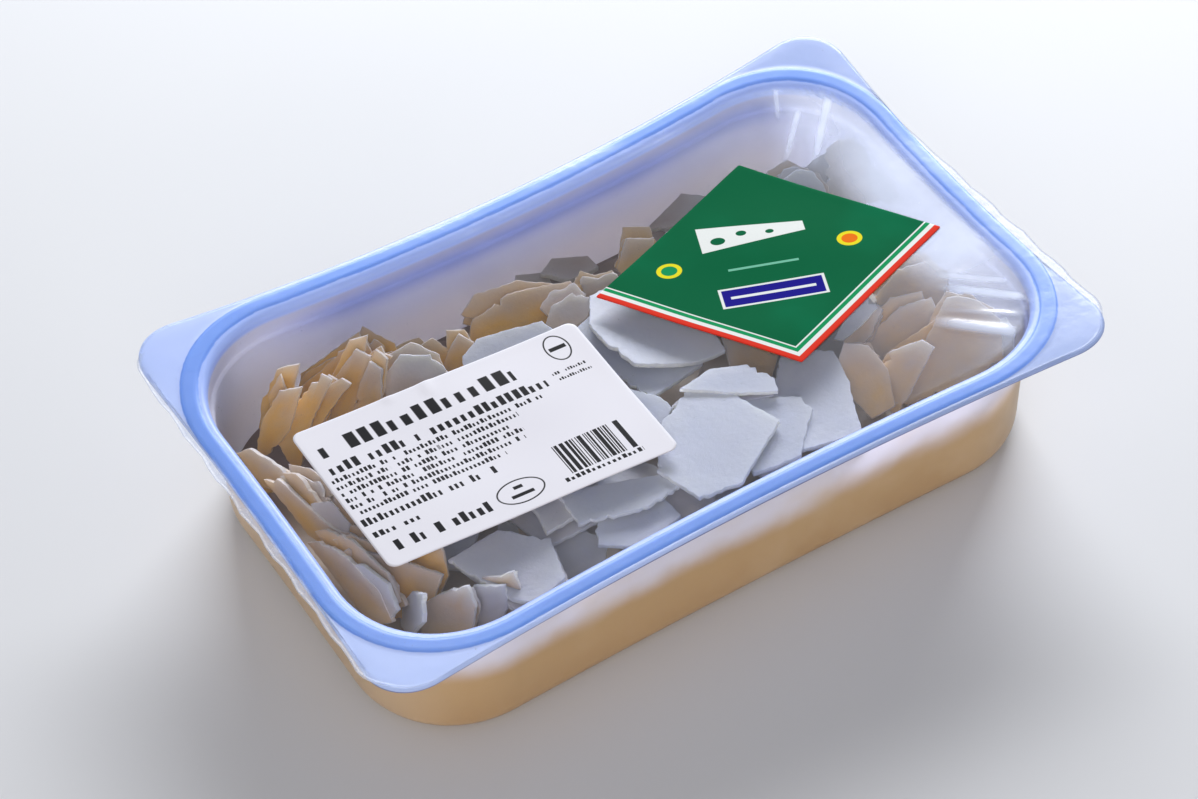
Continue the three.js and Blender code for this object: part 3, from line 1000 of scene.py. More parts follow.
@dataclass
class Label:
    """A label on the film: a thin closed sheet that follows the film's surface."""

    name: str
    node: str
    slot: str
    centre: tuple[float, float]
    length: float
    width: float
    radius: float
    turn: float
    lean: float
    thickness: float = 0.12 * MM

    def place(self, flat: np.ndarray) -> np.ndarray:
        """Lean, turn and move points from the label's own frame to the film's plane."""
        slid = np.c_[flat[:, 0] - flat[:, 1] * math.tan(math.radians(self.lean)), flat[:, 1]]
        angle = math.radians(self.turn)
        turn = np.array([[math.cos(angle), math.sin(angle)], [-math.sin(angle), math.cos(angle)]])
        return slid @ turn + self.centre

    def build(self, material: bpy.types.Material) -> bpy.types.Object:
        """Make the label.

        Args:
            material: Its printed paper.

        Returns:
            The label, which replaces its plain solid.
        """
        outline = rounded_rectangle((self.length / 2, self.width / 2), self.radius, LABEL_STEPS)
        loops, flats = [], []
        shares = np.concatenate([np.linspace(0.03, 0.9, 28), [0.95, 0.985, 1.0]])
        for share in shares:
            x, y = self.place(outline * share).T
            edge_lift = 0.05 * MM * smoothstep(0.9, 1.0, share)
            loops.append(np.c_[x, y, film_height(x, y) + 0.1 * MM + edge_lift])
            flats.append(outline * share)
        rounded = loops[-1] + [0, 0, self.thickness * 0.6]
        upper = [loop + [0, 0, self.thickness] for loop in loops[:-1]][::-1]
        every = loops + [rounded] + upper
        flat = skin_points(flats + [flats[-1]] + flats[:-1][::-1])
        u, v = (flat + [self.length / 2, self.width / 2]).T / MM
        parts = MeshParts()
        parts.add(skin_points(every), skin_faces(len(outline), len(every)), label_u=u, label_v=v)
        piece = parts.make(self.name, material, self.slot)
        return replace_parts(piece, self.node)


WHITE_LABEL = Label(
    name="white_paper_label",
    node="white_label",
    slot="white_paper",
    centre=(-56 * MM, -11.2 * MM),
    length=97 * MM,
    width=62 * MM,
    radius=3 * MM,
    turn=-3.9,
    lean=3.9,
)
GREEN_LABEL = Label(
    name="green_kite_label",
    node="green_label",
    slot="green_paper",
    centre=(57.6 * MM, 3.4 * MM),
    length=73 * MM,
    width=67.7 * MM,
    radius=0.6 * MM,
    turn=18.6,
    lean=14.5,
)
WHITE_LABEL_ROWS = (
    TextBlock(left=4, bottom=48.6, shortest=70, longest=70, height=6.2, pitch=4.6, seed=3, gaps=0.08),
    TextBlock(left=3.2, bottom=41.4, shortest=77, longest=77, height=4, pitch=2.6, seed=8, gaps=0.12),
    TextBlock(
        left=1.8, bottom=23.4, shortest=52, longest=78, height=1.9, pitch=1.35, seed=20, lines=6, spacing=2.95
    ),
    TextBlock(left=1.4, bottom=18.4, shortest=46, longest=46, height=3, pitch=1.8, seed=41),
    TextBlock(left=2, bottom=13, shortest=19, longest=19, height=2.3, pitch=2, seed=52),
    TextBlock(left=2.8, bottom=5.4, shortest=37, longest=37, height=4.2, pitch=2.7, seed=64),
    TextBlock(
        left=80, bottom=41.8, shortest=92, longest=92, height=1.2, pitch=0.9, seed=71, lines=2, spacing=2.7
    ),
    TextBlock(left=61, bottom=4.2, shortest=87.5, longest=87.5, height=1.7, pitch=1.75, seed=90, gaps=0),
)


@dataclass(frozen=True)
class WhiteLabelFinish:
    """Smooth white paper with rows of plain marks, a field of bars and two plain outlines."""

    paper: Colour = srgb(236, 235, 243)
    shade: Colour = srgb(210, 213, 232)
    module: float = 0.34
    oval: tuple[float, float] = (47.8, 8.4)
    round_mark: tuple[float, float] = (87.3, 54.4)

    def bars(self, prints: Print) -> Value:
        """Return the field of upright bars, one to three modules wide, by chance."""
        cell = (prints.u / self.module).floor()
        black = prints.graph.chance(cell + 11).rise(0.5, 0.51)
        return black * prints.band(prints.u, 63.4, 86.8) * prints.band(prints.v, 6.6, 19.2)

    def marks(self, prints: Print) -> list[Value]:
        """Return the two plain outlines and the bars inside them."""
        u, v = self.oval
        return [
            prints.ring(self.oval, (7.8, 4.8)),
            prints.box((u, v + 1.8), (3.0, 1.3)) + prints.box((u, v - 1.4), (7.4, 1.3)),
            prints.ring(self.round_mark, (4.0, 5.6)),
            prints.box(self.round_mark, (5.6, 1.6)),
        ]

    def material(self) -> bpy.types.Material:
        """Return the material."""
        graph = Graph("white_label_print")
        place = graph.place()
        fibre = graph.noise(place, 0.35 * MM, 3)
        cloud = graph.noise(place, 20 * MM, 2)
        prints = Print(graph, graph.mix(cloud * 0.12 + fibre * 0.03, self.paper, self.shade))
        rows = [prints.letters(block) for block in WHITE_LABEL_ROWS]
        for mask in [*rows, self.bars(prints), *self.marks(prints)]:
            prints.ink(mask, Ink.BLACK)
        shader = graph.principled(
            Base_Color=prints.colour,
            Roughness=0.42 + fibre * 0.12,
            Normal=graph.bump(fibre, 0.03 * MM, 0.5),
            Specular_IOR_Level=0.1,
        )
        return graph.finish(shader)


@dataclass(frozen=True)
class GreenLabelFinish:
    """Satin green print with white, green and red stripes along two edges and plain motifs."""

    slant: float = -47.0
    cloud: Colour = srgb(0, 122, 82)
    fibre: Colour = srgb(190, 210, 200)
    panel: tuple[float, float] = (25.2, 25.2)
    underline: tuple[float, float] = (34.6, 34.6)
    wedge_centre: tuple[float, float] = (46.0, 46.0)
    right_disc: tuple[float, float] = (56.5, 20.0)
    left_disc: tuple[float, float] = (20.0, 56.5)

    def stripes(self, prints: Print) -> None:
        """Lay the stripes along the two edges that meet at the near corner."""
        near_edge = prints.u.at_most(prints.v)
        low = -1.0
        for high, ink in ((2.1, Ink.RED), (3.6, Ink.WHITE), (5.0, Ink.MID_GREEN), (5.5, Ink.WHITE)):
            prints.ink(prints.band(near_edge, low, high), ink)
            low = high

    def wedge(self, prints: Print) -> None:
        """Lay a plain white wedge of cheese with three round holes."""
        along, across = prints.turned(self.wedge_centre, self.slant)
        half_height = 6.2 - (along + 15) * 0.13
        body = prints.band(along, -15.0, 15.0) * (half_height - abs(across)).rise(-0.1, 0.1)
        for u, v, radius in ((38.2, 52.2, 2.1), (44.6, 48.6, 1.5), (49.2, 42.0, 1.2)):
            body = body * (1 - prints.disc((u, v), (radius, radius * 0.85), self.slant))
        prints.ink(body, Ink.WHITE)

    def motifs(self, prints: Print) -> None:
        """Lay the plain motifs, which read along the label's diagonal."""
        self.wedge(prints)
        prints.ink(prints.box(self.underline, (20, 1.0), self.slant), Ink.PALE_GREEN)
        for size, ink in (((30, 9.6), Ink.WHITE), ((28.4, 8.0), Ink.BLUE), ((24.0, 1.2), Ink.WHITE)):
            prints.ink(prints.box(self.panel, size, self.slant), ink)
        for centre, inner in ((self.right_disc, Ink.ORANGE), (self.left_disc, Ink.MID_GREEN)):
            prints.ink(prints.disc(centre, (3.6, 3.6)), Ink.YELLOW)
            prints.ink(prints.disc(centre, (2.3, 2.3)), inner)

    def material(self) -> bpy.types.Material:
        """Return the material."""
        graph = Graph("green_label_print")
        place = graph.place()
        cloudy = graph.noise(place, 30 * MM, 2).rise(0.4, 0.8)
        prints = Print(graph, graph.mix(cloudy * 0.5, Ink.DARK_GREEN.value, self.cloud))
        self.stripes(prints)
        self.motifs(prints)
        fibre = graph.noise(place, 0.4 * MM, 3)
        shader = graph.principled(
            Base_Color=graph.mix(fibre * 0.006, prints.colour, self.fibre),
            Roughness=0.46 + fibre * 0.1,
            Normal=graph.bump(fibre + graph.noise(place, 4 * MM, 2) * 2, 0.03 * MM, 0.5),
            Specular_IOR_Level=0.012,
        )
        return graph.finish(shader)


# ---- The heap of flakes ------------------------------------------------------------------------


@dataclass(frozen=True)
class CheeseFinish:
    """Pale hard cheese: cool where the light falls, cream at the edges, a painted amber glow where light
    passes through, and painted shade deeper down and on the glowing flakes.
    """

    name: str
    face: Colour = srgb(184, 193, 216)
    cream: Colour = srgb(244, 242, 236)
    grey: Colour = srgb(176, 172, 176)
    glowing_flake_shade: Colour = srgb(150, 136, 134)
    deep_straw_shade: Colour = srgb(202, 178, 122)
    amber: Colour = srgb(226, 168, 56)
    shade: Colour = srgb(132, 82, 46)

    def material(self) -> bpy.types.Material:
        """Return the material, which reads tone, edge, glow and drop off the mesh."""
        graph = Graph(self.name)
        place = graph.place()
        tone = graph.attribute("tone")
        edge = graph.attribute("edge")
        glow = graph.attribute("glow")
        drop = graph.attribute("drop")
        cloud = graph.noise(place, 11 * MM, 3)
        crumb = graph.noise(place, 1.3 * MM, 3)
        fine = graph.noise(place, 0.45 * MM, 2)
        sunk = drop + (cloud - 0.5) * (6 * MM) + (tone - 0.5) * (5 * MM)
        colour = graph.mix(tone * 0.4, self.face, self.grey)
        # painted shade: greyer and darker where a flake glows amber
        colour = graph.mix(glow.rise(0.1, 0.45) * 0.5, colour, self.glowing_flake_shade)
        # painted shade: warmer and a little darker deeper in the heap, more so on glowing flakes
        colour = graph.mix(sunk.rise(8 * MM, 24 * MM) * (0.25 + glow * 0.7), colour, self.deep_straw_shade)
        # painted glow: amber where light passes through the flake
        colour = graph.mix((glow * (0.5 + cloud)).at_most(0.9), colour, self.amber)
        colour = graph.mix(sunk.rise(20 * MM, 40 * MM) * 0.7, colour, self.shade)
        colour = graph.mix(edge * (0.15 + crumb * 0.5) * (1 - glow * 0.6), colour, self.cream)
        relief = crumb * 0.6 + fine * 0.3 + graph.noise(place, 5 * MM, 2)
        shader = graph.principled(
            Base_Color=colour,
            Roughness=0.4 + crumb * 0.2,
            Normal=graph.bump(relief, 0.3 * MM, 0.5),
            Subsurface_Weight=0.85,
            Subsurface_Radius=(3.5 * MM, 3.4 * MM, 2.2 * MM),
            Subsurface_Scale=1.0,
        )
        return graph.finish(shader)


class Break(Enum):
    """How a flake's edge was parted; the value is how far it wanders, in metres."""

    CUT = 0.1 * MM
    TORN = 0.26 * MM


@dataclass
class Flake:
    """One flat flake: its outline in its own plane, where that plane lies, and its make."""

    corners: np.ndarray
    origin: np.ndarray
    axes: np.ndarray
    thickness: float = 1.7 * MM
    curl: float = 0.0
    tone: float = 0.5
    # share of painted amber glow, which stands for light passing through the flake
    amber_glow: float = 0.3
    spacing: float = 2.0 * MM

    BEVEL = 0.2 * MM

    def world(self, height: float = 0.0) -> np.ndarray:
        """Return the corners in the pack's frame, at a height over the flake's middle plane."""
        return self.origin + np.c_[self.corners, np.full(len(self.corners), height)] @ self.axes

    def outline(self, draw: np.random.RandomState) -> np.ndarray:
        """Walk round the flake with uneven, partly torn edges.

        Args:
            draw: Source of random numbers.

        Returns:
            The outline, in the sense of its corners.
        """
        points = []
        for start, end in zip(self.corners, np.roll(self.corners, -1, 0)):
            span = end - start
            length = max(float(np.hypot(*span)), 1e-9)
            steps = max(int(length / self.spacing), 1)
            edge = draw.choice([Break.CUT, Break.CUT, Break.CUT, Break.TORN])
            share = np.arange(steps) / steps
            bulge = draw.uniform(-0.3, 0.4) * MM * np.sin(share * math.pi) * min(length / (20 * MM), 1)
            bites = (draw.uniform(size=steps) < 0.12) * draw.uniform(0.4, 1.3, steps) * MM
            off = bulge + draw.normal(0, edge.value, steps) * (share > 0)
            off -= bites * (share > 0) * (edge is Break.TORN)
            outward = np.array([span[1], -span[0]]) / length
            points.append(start + span * share[:, None] + outward * off[:, None])
        return np.concatenate(points)

    def add_to(self, parts: MeshParts, draw: np.random.RandomState) -> None:
        """Build the flake's closed surface into a mesh.

        Args:
            parts: The mesh that is being gathered.
            draw: Source of random numbers.
        """
        outline = self.outline(draw)
        middle = outline.mean(0)
        spokes = outline - middle
        reach = np.hypot(*spokes.T)[:, None]
        half = self.thickness / 2
        angle = draw.uniform(0, math.pi)
        bend = np.array([math.cos(angle), math.sin(angle)])
        inset = 1 - self.BEVEL / np.maximum(reach, 4 * self.BEVEL)
        rough = draw.normal(0, 0.09 * MM, (len(outline), 1)) / np.maximum(reach, 1 * MM)
        sections = ((0.5, -half), (inset, -half), (1.0, self.BEVEL - half))
        sections += ((1.0 + rough, half - self.BEVEL), (inset + rough, half), (0.5, half))
        loops = []
        for share, height in sections:
            flat = middle + spokes * share
            curve = self.curl * ((flat - middle) @ bend / (16 * MM)) ** 2
            loops.append(np.c_[flat, height + curve])
        placed = self.origin + skin_points(loops) @ self.axes
        size = len(outline)
        edge = np.concatenate([[0], np.repeat([0, 0.3, 1, 1, 0.3, 0], size), [0]]).astype(float)
        drop = PACK.rim_height - placed[:, 2]
        sunk = placed[:, 2].max() - placed[:, 2]
        # painted glow: stronger towards the flake's lower part, weaker on its edges
        glow = self.amber_glow * (0.45 + 0.55 * smoothstep(1 * MM, 7 * MM, sunk)) * (1 - edge * 0.4)
        faces = skin_faces(size, len(loops))
        parts.add(placed, faces, edge=edge, tone=self.tone, drop=drop, glow=glow)


def lying_flake(plan: np.ndarray, height: float, slope: np.ndarray, thickness: float, **make: float) -> Flake:
    """Make a flake from its outline seen from above.

    Args:
        plan: Its corners in the plane, counter-clockwise.
        height: Height of the middle of its outline.
        slope: How fast it rises along x and along y.
        thickness: Its thickness.
        **make: Its curl, tone and share of painted amber glow.

    Returns:
        The flake.
    """
    offsets = plan - plan.mean(0)
    raised = np.c_[offsets, offsets @ slope]
    normal = np.array([-slope[0], -slope[1], 1.0])
    normal /= np.linalg.norm(normal)
    along = np.array([1.0, 0.0, slope[0]]) / math.hypot(1, slope[0])
    axes = np.array([along, np.cross(normal, along), normal])
    corners = np.c_[raised @ axes[0], raised @ axes[1]]
    return Flake(corners, np.array([*plan.mean(0), height]), axes, thickness, **make)


def heap_top(x: np.ndarray, y: np.ndarray) -> np.ndarray:
    """Return the height that the flakes reach, falling to the far, the left and the right wall."""
    far = 20 * MM * smoothstep(14 * MM, 66 * MM, y) * (1 - 0.4 * smoothstep(66 * MM, 100 * MM, x))
    left = 6 * MM * smoothstep(60 * MM, 120 * MM, -x)
    right = 16 * MM * smoothstep(90 * MM, 112 * MM, x) * smoothstep(-42 * MM, -18 * MM, y)
    return PACK.rim_height - 6 * MM - np.maximum(far, right) - left


@dataclass
class Pile:
    """The growing heap, kept as the height reached at each cell of a level grid."""

    cell: float = 1.25 * MM
    bed_depth: float = 17 * MM
    flakes: list[Flake] = field(default_factory=list)

    def __post_init__(self) -> None:
        """Lay out the grid, the bed that flakes are dropped on and the height they stay under."""
        xs = np.arange(-124 * MM, 124 * MM, self.cell)
        ys = np.arange(-80 * MM, 80 * MM, self.cell)
        self.x, self.y = np.meshgrid(xs, ys)
        self.ceiling = heap_top(self.x, self.y)
        self.height = self.ceiling - self.bed_depth
        self.open_cells = np.argwhere(PACK.mouth_distance(self.x, self.y) > 2 * MM)

    def centre(self, cell: np.ndarray) -> np.ndarray:
        """Return the middle of a cell, given by its row and column."""
        return np.array([self.x[tuple(cell)], self.y[tuple(cell)]])

    def covered(self, corners: np.ndarray) -> np.ndarray:
        """Return which cells lie under an outline given in the plane."""
        inside = np.zeros(self.x.shape, bool)
        for (x0, y0), (x1, y1) in zip(corners, np.roll(corners, -1, 0)):
            crosses = (self.y >= min(y0, y1)) & (self.y < max(y0, y1))
            reach = x0 + (self.y - y0) * (x1 - x0) / (y1 - y0 if y1 != y0 else 1e-12)
            inside ^= crosses & (self.x < reach)
        return inside

    def plane(self, flake: Flake) -> tuple[np.ndarray, np.ndarray]:
        """Return the cells under a flake and the height of its middle plane over the grid."""
        world = flake.world()
        normal = flake.axes[2]
        rise = (self.x - flake.origin[0]) * normal[0] + (self.y - flake.origin[1]) * normal[1]
        level = flake.origin[2] - rise / normal[2]
        return self.covered(world[:, :2]), np.clip(level, world[:, 2].min(), world[:, 2].max())

    def keep_free(self, flake: Flake) -> None:
        """Lower the ceiling under a flake that will lie on top."""
        cells, level = self.plane(flake)
        room = level - flake.thickness * 0.5 / flake.axes[2][2] - 0.5 * MM
        self.ceiling = np.where(cells, np.minimum(self.ceiling, room), self.ceiling)

    def put(self, flake: Flake) -> None:
        """Put a flake in the heap and raise the height under it."""
        cells, level = self.plane(flake)
        top = level + flake.thickness * 0.5 / flake.axes[2][2]
        self.height = np.where(cells, np.maximum(self.height, top), self.height)
        self.flakes.append(flake)

    def fits(self, flake: Flake) -> bool:
        """Say whether a flake lies inside the tray's wall and under the film."""
        x, y, z = flake.world().T
        depth = np.maximum(PACK.rim_height - z, 0)
        clear = PACK.mouth_distance(x, y, depth) > 1.3 * MM
        under = z + flake.thickness * 0.6 < film_height(x, y) - 0.6 * MM
        return bool(np.all(clear & under))

    def drop(self, plan: np.ndarray, tilt: np.ndarray, ease: float, thickness: float, **make: float) -> bool:
        """Let a flake down flat until it touches the heap.

        Args:
            plan: Its outline in the plane.
            tilt: Slope added to that of the heap beneath.
            ease: Share of the heap's slope that it takes.
            thickness: Its thickness.
            **make: Its curl, tone and share of painted amber glow.

        Returns:
            True if there was room for it.
        """
        cells = self.covered(plan)
        if cells.sum() < 4:
            return False
        x, y, z = self.x[cells], self.y[cells], self.height[cells]
        middle = plan.mean(0)
        fit = np.linalg.lstsq(np.c_[x - middle[0], y - middle[1], np.ones(len(x))], z, rcond=None)[0]
        slope = np.clip(fit[:2] * ease + tilt, -1.0, 1.0)
        base = np.max(z - (x - middle[0]) * slope[0] - (y - middle[1]) * slope[1])
        flake = lying_flake(plan, base + thickness * 0.55, slope, thickness, **make)
        if not self.fits(flake) or np.any(self.plane(flake)[1][cells] > self.ceiling[cells]):
            return False
        self.put(flake)
        return True


def flake_plan(draw: np.random.RandomState, radius: float) -> np.ndarray:
    """Return the corners of an uneven four- to six-sided flake about the origin.

    Args:
        draw: Source of random numbers.
        radius: Half its greatest width.

    Returns:
        Its corners, counter-clockwise.
    """
    sides = draw.choice([4, 4, 5, 5, 6])
    angles = (np.arange(sides) + draw.uniform(-0.26, 0.26, sides)) / sides * 2 * math.pi
    reach = radius * draw.uniform(0.78, 1.0, sides)
    narrow = draw.uniform(0.55, 0.95)
    points = np.c_[reach * np.cos(angles), reach * np.sin(angles) * narrow]
    spin = draw.uniform(0, math.pi)
    return points @ np.array([[math.cos(spin), math.sin(spin)], [-math.sin(spin), math.cos(spin)]])


@dataclass(frozen=True)
class ShownFlake:
    """A large flake that shows in its own right: its corners from above, in millimetres.

    Its depth is that of its middle under the rim, and under_it is how many like it lie beneath.
    """

    corners: tuple[tuple[float, float], ...]
    depth: float
    slope: tuple[float, float] = (0.0, 0.0)
    curl: float = 0.0
    amber_glow: float = 0.1
    under_it: int = 0

    def flake(self, draw: np.random.RandomState) -> Flake:
        """Return the flake itself."""
        plan = np.array(self.corners) * MM
        edges = np.roll(plan, -1, 0) - plan
        if np.sum(plan[:, 0] * edges[:, 1] - plan[:, 1] * edges[:, 0]) < 0:
            plan = plan[::-1]
        height = PACK.rim_height - self.depth * MM
        make = {"curl": self.curl * MM, "tone": draw.uniform(0.1, 0.6), "amber_glow": self.amber_glow}
        thickness = draw.uniform(1.6, 1.9) * MM
        return lying_flake(plan, height, np.array(self.slope), thickness, spacing=1.3 * MM, **make)

    def neighbours(self, top: Flake, draw: np.random.RandomState) -> list[Flake]:
        """Return the flakes that lie under it, each shifted and turned a little.

        Args:
            top: The flake itself.
            draw: Source of random numbers.

        Returns:
            The flakes beneath, from the top down.
        """
        flakes = []
        uphill = top.axes[:2] @ [*self.slope, np.dot(self.slope, self.slope)]
        for number in range(1, self.under_it + 1):
            angle = draw.normal(0, 0.28)
            turn = np.array([[math.cos(angle), math.sin(angle)], [-math.sin(angle), math.cos(angle)]])
            corners = top.corners @ turn * draw.uniform(0.85, 1.1, (len(top.corners), 1))
            slip = draw.normal(0, 2.0, 2) + uphill / max(np.hypot(*uphill), 0.6) * draw.uniform(0.4, 2.4)
            shift = [*(slip * MM), -number * draw.uniform(2.1, 2.8) * MM]
            origin = top.origin + np.array(shift) @ top.axes
            thickness = draw.uniform(1.3, 1.9) * MM
            amber_glow = min(top.amber_glow + draw.uniform(0.1, 0.3), 1)
            make = {"curl": draw.normal(0, 0.3) * MM, "tone": draw.uniform(), "amber_glow": amber_glow}
            flakes.append(Flake(corners, origin, top.axes, thickness, spacing=1.6 * MM, **make))
        return flakes


